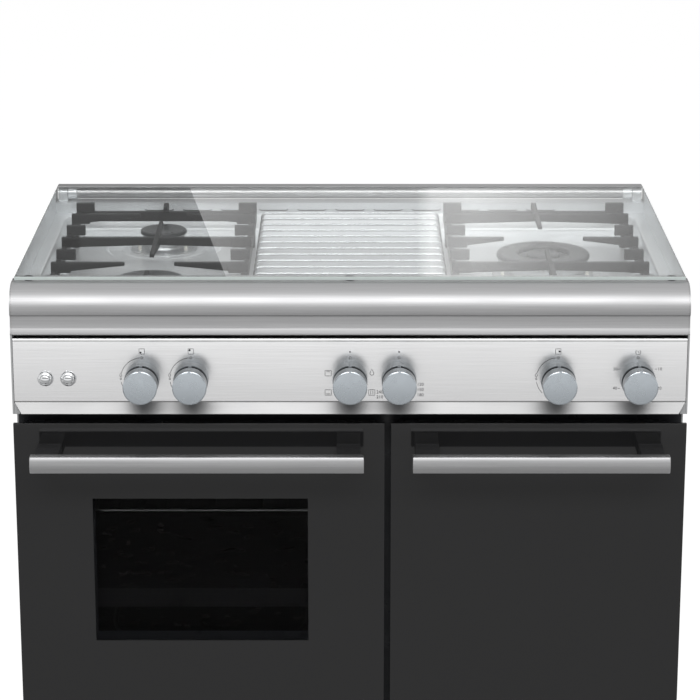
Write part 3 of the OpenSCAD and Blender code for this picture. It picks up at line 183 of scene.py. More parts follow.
class Shape:
    """Faces gathered in millimetres, each with the number of its finish."""

    def __init__(self):
        self.points = []
        self.faces = []
        self.finish = []
        self.current = 0

    def add(self, points, faces):
        start = len(self.points)
        self.points += [tuple(p) for p in points]
        self.faces += [[start + i for i in face] for face in faces]
        self.finish += [self.current] * len(faces)

    def loft(self, rings, ends=True, looped=False, closed=True):
        """Skins rings that have the same number of points."""
        count = len(rings[0])
        points = [p for ring in rings for p in ring]
        faces = []
        pairs = list(zip(range(len(rings)), range(1, len(rings))))
        if looped:
            pairs.append((len(rings) - 1, 0))
        for low, high in pairs:
            for i in range(count if closed else count - 1):
                j = (i + 1) % count
                faces.append([low * count + i, low * count + j, high * count + j, high * count + i])
        if ends and not looped:
            faces.append(list(range(count))[::-1])
            faces.append([(len(rings) - 1) * count + i for i in range(count)])
        self.add(points, faces)

    def block(self, x0, x1, d0, d1, z0, z1):
        ring = [(x0, d0), (x1, d0), (x1, d1), (x0, d1)]
        self.loft([[(x, d, z) for x, d in ring] for z in (z0, z1)])

    def bar(self, outline, x0, x1):
        """Extrudes an outline of depth and height along X."""
        self.loft([[(x, d, z) for d, z in outline] for x in (x0, x1)])

    def slab(self, outline, z0, z1):
        """Extrudes an outline of X and depth upwards."""
        self.loft([[(x, d, z) for x, d in outline] for z in (z0, z1)])

    def turned(self, profile, spot, sides=48, looped=False, ends=True):
        """Turns pairs of radius and height; a radius of 0 closes an end in a point."""
        rings = [[spot(t, r, h) for t in turns(sides)] for r, h in profile if r > 0]
        whole = all(r > 0 for r, h in profile)
        start = len(self.points)
        self.loft(rings, ends=whole and ends, looped=looped)
        if whole:
            return
        for place, ring in ((0, 0), (-1, len(rings) - 1)):
            radius, height = profile[place]
            if radius > 0:
                if ends:
                    self.faces.append([start + ring * sides + i for i in range(sides)])
                    self.finish.append(self.current)
                continue
            pole = len(self.points)
            self.points.append(spot(0, 0, height))
            for i in range(sides):
                j = (i + 1) % sides
                self.faces.append([start + ring * sides + i, start + ring * sides + j, pole])
                self.finish.append(self.current)

    def tube(self, route, radius, sides=12):
        """Sweeps a round section along a route, keeping its turn steady."""
        route = [Vector(p) for p in route]
        rings = []
        side = None
        for i, centre in enumerate(route):
            along = (route[min(i + 1, len(route) - 1)] - route[max(i - 1, 0)]).normalized()
            if side is None:
                side = along.orthogonal().normalized()
            side = (side - along * side.dot(along)).normalized()
            other = along.cross(side)
            outward = [side * math.cos(t) + other * math.sin(t) for t in turns(sides)]
            rings.append([tuple(centre + way * radius) for way in outward])
        self.loft(rings)

    def fill(self, loops, z):
        """Fills the flat area between an outer loop and its holes at one height."""
        flat = [Vector((*p, z)) for loop in loops for p in loop]
        self.add([(p.x, p.y, z) for p in flat], flat_faces(loops))


def piece(name, body, shape, slot, replaces=(), also=(), main=None, bevel=0.0, steps=2, sheet=0.0,
          flats=False, sharp=32, welded=False):
    """Makes the object of a shape, rounds its edges and hands it to the frame.

    Its first finish is main, or else the finish of its slot; the others follow in also.
    """
    mesh = bpy.data.meshes.new(name)
    places = [(x * MM, (d + FRONT) * MM, z * MM) for x, d, z in shape.points]
    mesh.from_pydata(places, [], shape.faces)
    mesh.polygons.foreach_set("material_index", shape.finish)
    for finish in (main or FINISH[slot], *also):
        mesh.materials.append(finish)
    work = bmesh.new()
    work.from_mesh(mesh)
    if welded:
        bmesh.ops.remove_doubles(work, verts=work.verts, dist=0.01 * MM)
    bmesh.ops.recalc_face_normals(work, faces=work.faces)
    if sheet and sum(f.normal.z * f.calc_area() for f in work.faces) < 0:
        bmesh.ops.reverse_faces(work, faces=work.faces)
    work.to_mesh(mesh)
    work.free()
    mesh.shade_smooth()
    if not bevel:
        mesh.set_sharp_from_angle(angle=math.radians(sharp))
    thing = bpy.data.objects.new(name, mesh)
    bpy.context.scene.collection.objects.link(thing)
    if sheet:
        skin = thing.modifiers.new("sheet", "SOLIDIFY")
        skin.thickness = sheet * MM
        skin.offset = -1
    if bevel:
        edges = thing.modifiers.new("edges", "BEVEL")
        edges.width = bevel * MM
        edges.segments = steps
        edges.limit_method = "ANGLE"
        edges.angle_limit = math.radians(sharp)
        edges.harden_normals = True
    if flats:
        thing.modifiers.new("flats", "WEIGHTED_NORMAL").keep_sharp = True
    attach(thing, body)
    if replaces:
        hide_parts(*replaces)
    return thing


# Materials


class Recipe:
    """A material around a Principled shader, whose patterns sit on the object in metres."""

    def __init__(self, name, colour, metallic=0.0, settings=()):
        self.material = bpy.data.materials.new(name)
        self.material.use_nodes = True
        self.tree = self.material.node_tree
        self.shader = self.tree.nodes["Principled BSDF"]
        self.colour = colour
        for label, value in (("Base Color", (*colour, 1)), ("Metallic", metallic), *dict(settings).items()):
            self.shader.inputs[label].default_value = value
        self.place = self.tree.nodes.new("ShaderNodeTexCoord").outputs["Object"]
        self.relief = None

    def feed(self, node, label, value):
        if isinstance(value, bpy.types.NodeSocket):
            self.tree.links.new(value, node.inputs[label])
        else:
            node.inputs[label].default_value = value

    def node(self, kind, inputs):
        """Adds a node; each input is a number or the output of another node."""
        node = self.tree.nodes.new(kind)
        for label, value in inputs.items():
            self.feed(node, label, value)
        return node

    def stretched(self, repeats):
        """Coordinates for a pattern: repeats per metre along X, Y and Z, or one number for all."""
        scale = repeats if isinstance(repeats, tuple) else (repeats, repeats, repeats)
        return self.node("ShaderNodeMapping", {"Vector": self.place, "Scale": scale}).outputs["Vector"]

    def noise(self, repeats, detail=3.0, warp=0.0):
        inputs = {"Vector": self.stretched(repeats), "Scale": 1.0, "Detail": detail, "Distortion": warp}
        return self.node("ShaderNodeTexNoise", inputs).outputs["Fac"]

    def cells(self, repeats, output="Distance"):
        inputs = {"Vector": self.stretched(repeats), "Scale": 1.0}
        return self.node("ShaderNodeTexVoronoi", inputs).outputs[output]

    def ranged(self, amount, low, high, start=0.0, end=1.0):
        inputs = {"Value": amount, "From Min": start, "From Max": end, "To Min": low, "To Max": high}
        return self.node("ShaderNodeMapRange", inputs).outputs["Result"]

    def blended(self, amount, first, second):
        """Varies the colour between two colours."""
        node = self.tree.nodes.new("ShaderNodeMix")
        node.data_type = "RGBA"
        self.feed(node, "Factor", amount)
        node.inputs[6].default_value = (*first, 1)
        node.inputs[7].default_value = (*second, 1)
        self.feed(self.shader, "Base Color", node.outputs[2])

    def tinted(self, amount, dark, light):
        """Varies the colour between two shares of itself."""
        self.blended(amount, [c * dark for c in self.colour], [min(c * light, 1) for c in self.colour])

    def rough(self, amount, low, high):
        self.feed(self.shader, "Roughness", self.ranged(amount, low, high, 0.3, 0.7))

    def bump(self, amount, depth):
        """Adds relief that is depth millimetres high."""
        inputs = {"Height": amount, "Distance": depth * MM, "Strength": 1.0}
        if self.relief is not None:
            inputs["Normal"] = self.relief
        self.relief = self.node("ShaderNodeBump", inputs).outputs["Normal"]
        self.feed(self.shader, "Normal", self.relief)


def plain(name, colour, metallic, tint, rough, relief=None, settings=(), cells=False):
    """A material whose colour, roughness and relief each follow a pattern.

    tint is (repeats per metre, darkest share, lightest share), rough is (repeats, lowest, highest)
    and relief is (repeats, millimetres); the detail of the noise can follow. With cells, the colour
    changes from cell to cell instead.
    """
    recipe = Recipe(name, colour, metallic, settings)
    repeats, dark, light, *detail = tint
    pattern = recipe.cells(repeats, "Color") if cells else recipe.noise(repeats, *detail)
    recipe.tinted(pattern, dark, light)
    repeats, low, high, *detail = rough
    recipe.rough(recipe.noise(repeats, *detail), low, high)
    if relief:
        repeats, depth, *detail = relief
        recipe.bump(recipe.noise(repeats, *detail), depth)
    return recipe


def finished(*values, **others):
    """The material of a plain recipe that needs nothing more."""
    return plain(*values, **others).material


def brushed(name, colour, low, high, contrast, depth=0.02, metallic=1.0):
    """Steel brushed along X, with long fine scratches and slow unevenness."""
    recipe = Recipe(name, colour, metallic)
    lines = recipe.noise((9, 700, 700), 4.0)
    recipe.tinted(recipe.ranged(lines, 0, 1, 0.3, 0.7), 1 - contrast, 1 + contrast)
    recipe.rough(recipe.noise((7, 14, 14), 2.0), low, high)
    recipe.bump(lines, depth)
    return recipe.material


# Rail and handle steel are coloured far darker than the panel's steel: painted shade that keeps them dark in
# the white studio.
def rail_steel():
    return brushed("rail_steel", (0.39, 0.39, 0.395), 0.44, 0.5, 0.05)


def handle_steel():
    return brushed("handle_steel", (0.39, 0.39, 0.395), 0.4, 0.46, 0.06)


def panel_steel():
    return brushed("panel_steel", (0.79, 0.79, 0.795), 0.23, 0.27, 0.03)


def shaded_lip_steel():
    """Rougher steel of the flared lip, with its colour set far darker than the panel face's as painted shade,
    so that the lip that faces the lamp does not glare.
    """
    return brushed("shaded_lip_steel", (0.24, 0.24, 0.241), 0.38, 0.44, 0.03)


def tray_steel():
    """Light satin steel of the hob, its ledge and the wall behind it."""
    return brushed("tray_steel", (0.82, 0.84, 0.855), 0.2, 0.26, 0.02, 0.002, 0.4)


def side_paint():
    """Satin grey stove paint with a faint orange peel."""
    return finished("side_paint", (0.4, 0.405, 0.41), 0.25, (6, 0.95, 1.05), (30, 0.36, 0.48),
        (420, 0.06, 2.0))


def zinc_sheet():
    """Galvanised sheet with its spangles and roller marks."""
    return finished("zinc_sheet", (0.55, 0.565, 0.58), 0.85, (85, 0.78, 1.12), (60, 0.34, 0.5),
                 ((14, 500, 500), 0.03), cells=True)


def black_enamel():
    """Vitreous enamel, nearly black, with small pale specks and a wavy surface."""
    recipe = Recipe("black_enamel", (0.018, 0.019, 0.022), settings={"Specular IOR Level": 0.35})
    specks = recipe.ranged(recipe.cells(520), 1, 0, 0.06, 0.14)
    recipe.blended(specks, (0.016, 0.017, 0.02), (0.11, 0.12, 0.13))
    recipe.rough(recipe.noise(40), 0.24, 0.4)
    recipe.bump(recipe.noise(150), 0.08)
    return recipe.material


def door_glass():
    """Glass with a black print on its back, seen through its glossy face."""
    return finished("door_glass", (0.0125, 0.0125, 0.013), 0.0, (5, 0.92, 1.08),
        ((22, 22, 60), 0.04, 0.09, 4.0),
                 (9, 0.05, 1.0), {"IOR": 1.5})


def window_glass():
    """Dark tinted pane of the oven window, with a trace of haze."""
    settings = {"Transmission Weight": 1.0, "IOR": 1.12}
    return finished("window_glass", (0.38, 0.38, 0.385), 0.0, (8, 0.96, 1.04), (30, 0.0, 0.03),
        settings=settings)


def inner_glass():
    """Clear inner pane, slightly greyed by baking."""
    settings = {"Transmission Weight": 1.0, "IOR": 1.12}
    return finished("inner_glass", (0.8, 0.8, 0.79), 0.0, (10, 0.94, 1.04), (25, 0.0, 0.06),
        settings=settings)


def lid_glass():
    """Clear toughened glass, faintly green in its thickness."""
    settings = {"Transmission Weight": 1.0, "IOR": 1.5}
    return finished("lid_glass", (0.97, 0.985, 0.98), 0.0, (4, 0.995, 1.005), (12, 0.0, 0.012),
        settings=settings)


def glass_edge():
    """Ground edge of the lid: pale, slightly green, with the marks of the wheel."""
    return finished("glass_edge", (0.68, 0.75, 0.73), 0.0, ((60, 60, 900), 0.9, 1.1), (200, 0.32, 0.5),
                 ((40, 40, 1500), 0.02), {"Transmission Weight": 0.2, "IOR": 1.5})


def bracket_black():
    """Dark moulded plastic of the handle brackets and of the collars' seats; as the sheet behind the rear
    vents it is painted shade.
    """
    return finished("bracket_black", (0.02, 0.02, 0.021), 0.0, (120, 0.85, 1.2), (90, 0.36, 0.5),
        (1000, 0.03),
                 {"Specular IOR Level": 0.22})


def cast_grate():
    """Matt enamel on cast iron, with the sand-cast grain showing through."""
    recipe = plain("cast_grate", (0.012, 0.0125, 0.0135), 0.0, (70, 0.75, 1.35), (200, 0.44, 0.56),
                   (900, 0.05, 4.0), {"Specular IOR Level": 0.3})
    recipe.bump(recipe.noise(110), 0.08)
    return recipe.material


def burner_enamel():
    """Smooth black enamel of the burner caps, a little bloomed by heat."""
    return finished("burner_enamel", (0.028, 0.03, 0.033), 0.0, (60, 0.8, 1.25), (90, 0.26, 0.4), (500, 0.05))


def burner_aluminium():
    """Turned aluminium, with tool marks round the axis and grey heat stains."""
    return finished("burner_aluminium", (0.62, 0.63, 0.64), 1.0, (50, 0.8, 1.08), (120, 0.34, 0.5),
                 ((20, 20, 1600), 0.04))


def knob_satin():
    """Blue-grey satin metal paint with fine flake."""
    return finished("knob_satin", (0.45, 0.487, 0.518), 0.95, (2600, 0.94, 1.05), (120, 0.23, 0.29),
                 (1500, 0.008), cells=True)


def collar_satin():
    """Satin paint of the sleeves and of the knobs' sides, darker than the knob faces; the darkening is
    painted shade.
    """
    return finished("collar_satin", (0.23, 0.25, 0.266), 0.9, (2400, 0.93, 1.06), (110, 0.27, 0.34),
                 (1400, 0.008), cells=True)


def chrome():
    return finished("chrome", (0.72, 0.73, 0.74), 1.0, (80, 0.96, 1.02), (200, 0.05, 0.1))


def wire_chrome():
    """Plated wire, with the drawn lines of the wire under the plating."""
    return finished("wire_chrome", (0.52, 0.53, 0.54), 1.0, (90, 0.9, 1.04), (300, 0.12, 0.24), (700, 0.02))


def rubber_black():
    return finished("rubber_black", (0.02, 0.02, 0.021), 0.0, (150, 0.8, 1.3), (60, 0.6, 0.8), (1200, 0.04))


def foot_plastic():
    return finished("foot_plastic", (0.025, 0.025, 0.027), 0.0, (90, 0.85, 1.2), (80, 0.42, 0.6), (900, 0.05))


def switch_plastic():
    return finished("switch_plastic", (0.66, 0.62, 0.5), 0.0, (60, 0.94, 1.04), (70, 0.4, 0.55), (800, 0.03))


def brass():
    return finished("brass", (0.62, 0.46, 0.2), 1.0, (90, 0.82, 1.08), (150, 0.24, 0.42),
        ((60, 1400, 60), 0.03))


def gas_tube():
    """Copper-coated steel tube with darker stains."""
    return finished("gas_tube", (0.6, 0.36, 0.2), 1.0, (40, 0.7, 1.1, 4.0), (80, 0.28, 0.5), (500, 0.03))


def mineral_wool():
    """Yellow-brown insulation with matted fibres."""
    recipe = Recipe("mineral_wool", (0.5, 0.42, 0.2))
    fibres = recipe.noise((160, 900, 300), 6.0, 3.0)
    recipe.tinted(fibres, 0.55, 1.3)
    recipe.rough(recipe.noise(50), 0.85, 1.0)
    recipe.bump(fibres, 1.4)
    return recipe.material


def lamp_glass():
    """Pressed glass cover of the oven lamp."""
    settings = {"Transmission Weight": 0.9, "IOR": 1.47}
    recipe = plain("lamp_glass", (0.93, 0.93, 0.9), 0.0, (40, 0.95, 1.03), (90, 0.05, 0.18),
        settings=settings)
    recipe.bump(recipe.cells(260), 0.25)
    return recipe.material


def probe_ceramic():
    return finished("probe_ceramic", (0.8, 0.78, 0.72), 0.0, (200, 0.85, 1.05), (200, 0.28, 0.45))


def print_ink():
    """Dark grey screen print on the control panel."""
    return finished("print_ink", (0.035, 0.035, 0.036), 0.0, (900, 0.8, 1.3), (300, 0.42, 0.6),
                 settings={"Specular IOR Level": 0.2})


MAKERS = [
    rail_steel, handle_steel, panel_steel, tray_steel, side_paint, zinc_sheet, black_enamel,
    door_glass, inner_glass, lid_glass, cast_grate, burner_enamel, burner_aluminium, knob_satin,
    chrome, wire_chrome, rubber_black, foot_plastic, switch_plastic, brass, gas_tube,
    mineral_wool, lamp_glass, probe_ceramic,
]
FINISH = {maker.__name__: maker() for maker in MAKERS}
WINDOW = window_glass()
SHADED_LIP = shaded_lip_steel()
EDGE = glass_edge()
DARK = bracket_black()
SHADED_SLEEVE = collar_satin()
INK = print_ink()


def dress_packed_nodes():
    """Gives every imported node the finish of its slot."""
    for part in frame["record"]["subparts"]:
        node = frame["nodes"][part["node"]]
        finish = FINISH[part["material_slot"]]
        if not node.material_slots:
            node.data.materials.append(finish)
        for holder in node.material_slots:
            holder.material = finish


# Front rail and control panel


def rail_line():
    """Outer line of the rail: flat top, roll, crease, hollow flare, bright step and rolled lip."""
    roll = 32.0
    crease_d = 3.8
    crease_z = RAIL.z1 - 39.3
    flare_r = 66.0
    flare_in = 2.0
    flare_out = 13.0
    lip_r = 1.6
    line = [(RAIL.d1, RAIL.z1), (RAIL.d1 - 8, RAIL.z1)]
    line += arc(roll, RAIL.z1 - roll, roll, 90, 190, 44)
    line.append((crease_d - 0.5, crease_z + 0.6))
    centre_d = crease_d - flare_r * math.cos(math.radians(flare_in))
    centre_z = crease_z - flare_r * math.sin(math.radians(flare_in))
    line += arc(centre_d, centre_z, flare_r, flare_in, -flare_out, 14)
    step_d = line[-1][0] - 1.05
    step_z = line[-1][1] - 2.4
    line.append((step_d, step_z))
    line += arc(lip_r, RAIL.z0 + lip_r, lip_r, 176, 270, 6)
    line.append((22, RAIL.z0))
    return line


def front_rail():
    outer = rail_line()
    shape = Shape()
    shape.bar(thicken(outer, -SHEET), RAIL.x0 + 1.5, RAIL.x1 - 1.5)
    end = outer + [(RAIL.d1, RAIL.z0)]
    for x in (RAIL.x0, RAIL.x1 - 2):
        shape.bar(end, x, x + 2)
    shape.block(RAIL.x0 + 1, RAIL.x1 - 1, RAIL.d1 - SHEET, RAIL.d1, RAIL.z1 - 24, RAIL.z1 - 0.1)
    piece("rail_shell", "cabinet", shape, "rail_steel", ["front_rail"],
          bevel=0.7, steps=3, sharp=40, flats=True)


FOLD_Z = PANEL.z0 + 17
LIP_Z = PANEL.z0 + 2.5
MITRE = 10.0


def panel_line():
    """Outer line of the upright sheet: return, rounded top, a fine groove and the face."""
    line = [(PANEL.d1, PANEL.z1)]
    line += arc(1.8, PANEL.z1 - 1.8, 1.8, 90, 180, 6)
    line += [(0, PANEL.z1 - 3.2), (0.45, PANEL.z1 - 3.7), (0.45, PANEL.z1 - 4.2)]
    crown = 0.2
    top = PANEL.z1 - 4.8
    count = 8
    for i in range(count + 1):
        s = 2 * i / count - 1
        line.append((crown * s * s, top + (FOLD_Z + 1.6 - top) * i / count))
    return line + [(crown, FOLD_Z - 1)]


def lip_line():
    """Closed line of the lip: a fine bead, the hollow fold, the slope and the rounded lower edge."""
    edge_r = 0.55
    low_d = PANEL.d0 + edge_r
    line = [(0.4, FOLD_Z + 1.7), (-0.01, FOLD_Z + 1.6), (-0.1, FOLD_Z + 1.15), (-0.1, FOLD_Z + 0.8),
        (-0.01, FOLD_Z + 0.3)]
    line += [(-0.14, FOLD_Z - 0.15), (-0.42, FOLD_Z - 0.7)]
    line += arc(low_d, LIP_Z + edge_r, edge_r, 149, 329, 8)
    return line + [(-0.02, FOLD_Z - 2.1), (0.4, FOLD_Z - 2.1)]


def mitred(z):
    """Half width of the lip at a height: its ends are cut back towards the lower edge."""
    return PANEL.x1 - MITRE * max(0, FOLD_Z - z) / (FOLD_Z - LIP_Z)


def control_panel():
    shape = Shape()
    outline = thicken(panel_line(), -SHEET)
    shape.bar(outline, PANEL.x0, PANEL.x1)
    # The lip takes the darker steel, whose colour is painted shade.
    shape.current = 1
    shape.loft([[(s * mitred(z), d, z) for d, z in lip_line()] for s in (-1, 1)])
    shape.current = 0
    inner = PANEL.x1 - MITRE - 0.5
    shape.block(-inner, inner, 0.05, SHEET, PANEL.z0, FOLD_Z)
    shape.block(-inner, inner, SHEET, PANEL.d1, PANEL.z0, PANEL.z0 + SHEET)
    piece("panel_face", "cabinet", shape, "panel_steel", ["control_panel"], [SHADED_LIP],
          bevel=0.25, sharp=40, flats=True)


PRINT_D = -0.12


def ribbon(shape, line, width, closed=False):
    """A printed line of one width through points of X and height."""
    count = len(line)
    rings = []
    for i, (x, z) in enumerate(line):
        before = line[(i - 1) % count] if closed or i else line[0]
        after = line[(i + 1) % count] if closed or i < count - 1 else line[-1]
        along = Vector((after[0] - before[0], after[1] - before[1])).normalized()
        side = Vector((-along.y, along.x)) * width / 2
        rings.append([
            (x + side.x, PRINT_D, z + side.y), (x - side.x, PRINT_D, z - side.y),
            (x - side.x, 0.2, z - side.y), (x + side.x, 0.2, z + side.y),
        ])
    shape.loft(rings, looped=closed)


def ring_line(x, z, radius, start=0, end=360, count=32):
    points = arc(x, z, radius, start, end, count)
    return points[:-1] if end - start == 360 else points


def square_line(x, z, half, high=None):
    high = high or half
    return [(x - half, z - high), (x, z - high), (x + half, z - high), (x + half, z),
            (x + half, z + high), (x, z + high), (x - half, z + high), (x - half, z)]


def dot(shape, x, z, radius):
    shape.turned([(radius, -0.2), (radius, -PRINT_D)], facing(x, 0, z), 16)


def flame_line(x, z, size):
    """A small pointed flame."""
    points = arc(x, z, size, -220, 40, 14)
    return points + [(x, z + 2.3 * size)]


def figures(shape, words, x, z, height):
    """Printed numbers, taken from the built-in typeface as faces."""
    curve = bpy.data.curves.new("figures", "FONT")
    curve.body = words
    curve.size = height * 1.4
    curve.align_x = "CENTER"
    curve.align_y = "CENTER"
    curve.extrude = -PRINT_D
    curve.resolution_u = 3
    holder = bpy.data.objects.new("figures", curve)
    bpy.context.scene.collection.objects.link(holder)
    bpy.context.view_layer.update()
    mesh = bpy.data.meshes.new_from_object(holder.evaluated_get(bpy.context.evaluated_depsgraph_get()))
    points = [(x + v.co.x, -v.co.z, z + v.co.y) for v in mesh.vertices]
    shape.add(points, [list(p.vertices) for p in mesh.polygons])
    bpy.data.objects.remove(holder)
    bpy.data.curves.remove(curve)
    bpy.data.meshes.remove(mesh)


def burner_marks(shape, x, dot_x, dot_z):
    """Square with a dot for the burner, and a sweep with two flames."""
    line_w = 0.6
    sweep_r = 28.5
    icon_z = KNOB_Z + 37.2
    ribbon(shape, square_line(x, icon_z, 3.6), line_w, True)
    dot(shape, x + dot_x, icon_z + dot_z, 1.35)
    ribbon(shape, arc(x, KNOB_Z, sweep_r, 96, 165, 24), line_w)
    ribbon(shape, arc(x, KNOB_Z, sweep_r, 190, 225, 12), line_w)
    ribbon(shape, flame_line(x - sweep_r, KNOB_Z + 4.2, 1.5), line_w, True)
    ribbon(shape, flame_line(x - sweep_r, KNOB_Z - 0.8, 1.0), line_w, True)


def panel_marks():
    """Plain marks beside the knobs: zeros, squares, flames and numbers."""
    line_w = 0.65
    shape = Shape()
    xs = [k.x for k in KNOBS]
    for x in xs:
        ribbon(shape, ring_line(x, KNOB_Z + 28.4, 1.5), line_w, True)
    for i, dot_x, dot_z in ((0, -1.6, -1.6), (1, -1.6, 1.6), (4, 1.7, 0)):
        burner_marks(shape, xs[i], dot_x, dot_z)

    half = 4.1
    side = 29.0
    selector = [(-side, 7.2, 1), (-side, -19.6, 2), (side, -19.6, 3)]
    for dx, dz, kind in selector:
        x = xs[2] + dx
        z = KNOB_Z + dz
        ribbon(shape, square_line(x, z, half, 3.8), line_w, True)
        if kind == 1:
            ribbon(shape, [(x - 2.6, z + 2), (x, z + 2), (x + 2.6, z + 2)], line_w)
        if kind == 2:
            ribbon(shape, [(x - 2.6, z - 2), (x, z - 2), (x + 2.6, z - 2)], line_w)
        if kind == 3:
            for shift in (-1.4, 1.4):
                ribbon(shape, [(x + shift, z - 2.4), (x + shift, z), (x + shift, z + 2.4)], line_w)
    lamp_z = KNOB_Z + 7.6
    ribbon(shape, flame_line(xs[2] + side, lamp_z - 0.6, 2.6), line_w, True)
    dot(shape, xs[2], KNOB_Z + 36.6, 1.1)
    dot(shape, xs[3], KNOB_Z + 36.6, 1.1)

    number_h = 4.3
    for words, dz in (("120", -8.4), ("150", -15.8), ("180", -23.1)):
        figures(shape, words, xs[3] + 28.6, KNOB_Z + dz, number_h)
    for words, dz in (("240", -19.2), ("210", -25.9)):
        figures(shape, words, xs[3] - 25.4, KNOB_Z + dz, number_h)

    clock_z = KNOB_Z + 36.2
    ribbon(shape, ring_line(xs[5], clock_z, 3.3, 130, 410), line_w)
    ribbon(shape, [(xs[5], clock_z + 1.8), (xs[5], clock_z), (xs[5] + 1.3, clock_z - 0.4)], line_w)
    for words, side_x, dz in (("50", -29.6, 12.8), ("40", -29.6, -13.8), ("10", 29.4, 12.8),
            ("20", 29.4, -13.8)):
        figures(shape, words, xs[5] + side_x, KNOB_Z + dz, number_h)
        dash = xs[5] + side_x * 0.83
        ribbon(shape, [(dash - 1.2, KNOB_Z + dz), (dash, KNOB_Z + dz), (dash + 1.2, KNOB_Z + dz)], line_w)
    piece("panel_marks", "cabinet", shape, "panel_steel", main=INK)


# Knobs and buttons


COLLAR_R = 23.0
COLLAR_L = 20.0
KNOB_GAP = 3.0


SLEEVE_L = 18.3
KNOB_BACK = COLLAR_L + KNOB_GAP
TAB_HALF = 2.1


def collars_and_bezels():
    """Metal sleeves with a black seat in front, an index tab on top, and rings round the buttons."""
    wall = 2.5
    hole = 6.0
    seat_r = COLLAR_R - 1.1
    shape = Shape()
    for knob in KNOBS:
        spot = facing(knob.x, 0, KNOB_Z)
        shape.current = 0
        sleeve = rectangle(COLLAR_R - wall, COLLAR_R, 0, SLEEVE_L)
        shape.turned(sleeve, spot, 96, looped=True)
        tab_z = KNOB_Z + COLLAR_R - 0.6
        x = knob.x
        shape.block(x - TAB_HALF, x + TAB_HALF, 0.1 - KNOB_BACK, 2 - SLEEVE_L, tab_z, tab_z + 0.9)
        shape.current = 1
        bore = COLLAR_R - wall
        seat = [
            (bore, 10), (bore, SLEEVE_L), (seat_r, SLEEVE_L), (seat_r, COLLAR_L), (hole, COLLAR_L),
            (hole, COLLAR_L - wall), (bore - wall, COLLAR_L - wall), (bore - wall, 10),
        ]
        shape.turned(seat, spot, 96, looped=True)
    # The sleeves and tabs take the darker satin, painted shade; the seats take the dark plastic.
    piece("knob_collars", "cabinet", shape, "knob_satin", ["panel_bezels"], [DARK], SHADED_SLEEVE, bevel=0.3)
    rings = Shape()
    for button in BUTTONS:
        profile = [(9.8, 0), (10.8, 0), (10.8, 0.7), (10.3, 1.2), (9.8, 1.2)]
        rings.turned(profile, facing(button.x, 0, KNOB_Z), 64, looped=True)
    piece("button_rings", "cabinet", rings, "chrome", bevel=0.15)


def knob(number, box):
    """Slim knob: black skirt, metal cap with a bright bevel, a soft crown and a pointer nib."""
    back = KNOB_BACK
    skirt_l = 3.0
    face = back + 24.0
    spindle = 4.05
    seat = 16.0
    sides = 128
    spot = facing(box.x, 0, KNOB_Z)
    shape = Shape()
    shape.current = 1
    skirt = [
        (spindle, back + seat), (spindle, back), (21.2, back), (21.6, back + 0.4),
        (21.6, back + skirt_l + 0.5), (20, back + skirt_l + 0.5), (20, back + seat),
    ]
    shape.turned(skirt, spot, sides, looped=True)
    rim_r = 21.1
    crown = 0.42
    edge = (22.65, face - crown - 0.66)
    # The knob's side and its rib take the darker satin, whose darkness is painted shade.
    shape.current = 2
    low = back + skirt_l
    side = [(19.5, low), (22.1, low), (22.4, low + 0.3), (22.45, back + 9), (22.6, face - 3), edge]
    shape.turned(side, spot, sides, ends=False)
    shape.current = 0
    cap = [edge, (22.5, edge[1] + 0.12), (21.4, face - crown)]
    cap += [(r, face - crown * (r / rim_r) ** 2) for r in (rim_r, 20, 17, 14, 10.5, 7, 3.5)]
    shape.turned(cap + [(0, face)], spot, sides, ends=False)
    shape.current = 2
    rib_z = KNOB_Z + 21.4
    shape.block(box.x - TAB_HALF, box.x + TAB_HALF, -back - skirt_l, -back - 0.1, rib_z, rib_z + 0.9)
    shape.current = 0
    nib = [(-2.6, 21.2), (-1.5, 22.6), (-0.5, 23.5), (0.5, 23.5), (1.5, 22.6), (2.6, 21.2)]
    shape.loft([
        [(box.x + x * grow, -h, KNOB_Z + 21.2 + (z - 21.2) * grow) for x, z in nib]
        for grow, h in ((0.15, face - 9), (1.0, face - 3.0), (1.0, face - 0.6), (0.8, face))
    ])
    piece("knob_%d_cap" % number, "knob_%d" % number, shape, "knob_satin",
          ["knob_%d" % number], [DARK, SHADED_SLEEVE], sharp=28, flats=True, welded=True)


def button(name, box):
    """Chrome button: a coned skirt round a raised dome, on its stem."""
    stem_r = 4.0
    skirt = [
        (0, -13), (stem_r, -13), (stem_r, 3.3), (9.3, 3.3), (9.45, 3.6), (9.45, 4.6), (9.1, 5.3),
        (7.9, 6.2), (7.0, 6.6), (6.5, 6.4), (6.35, 5.9),
    ]
    dome = [(6.3 * math.cos(math.radians(a)), 6.3 + 2.7 * math.sin(math.radians(a))) for a in range(0, 90, 9)]
    shape = Shape()
    shape.turned(skirt + dome + [(0, 9.0)], facing(box.x, 0, KNOB_Z), 72)
    piece(name + "_cap", name, shape, "chrome", [name], sharp=40)


# Doors, drawer and handles


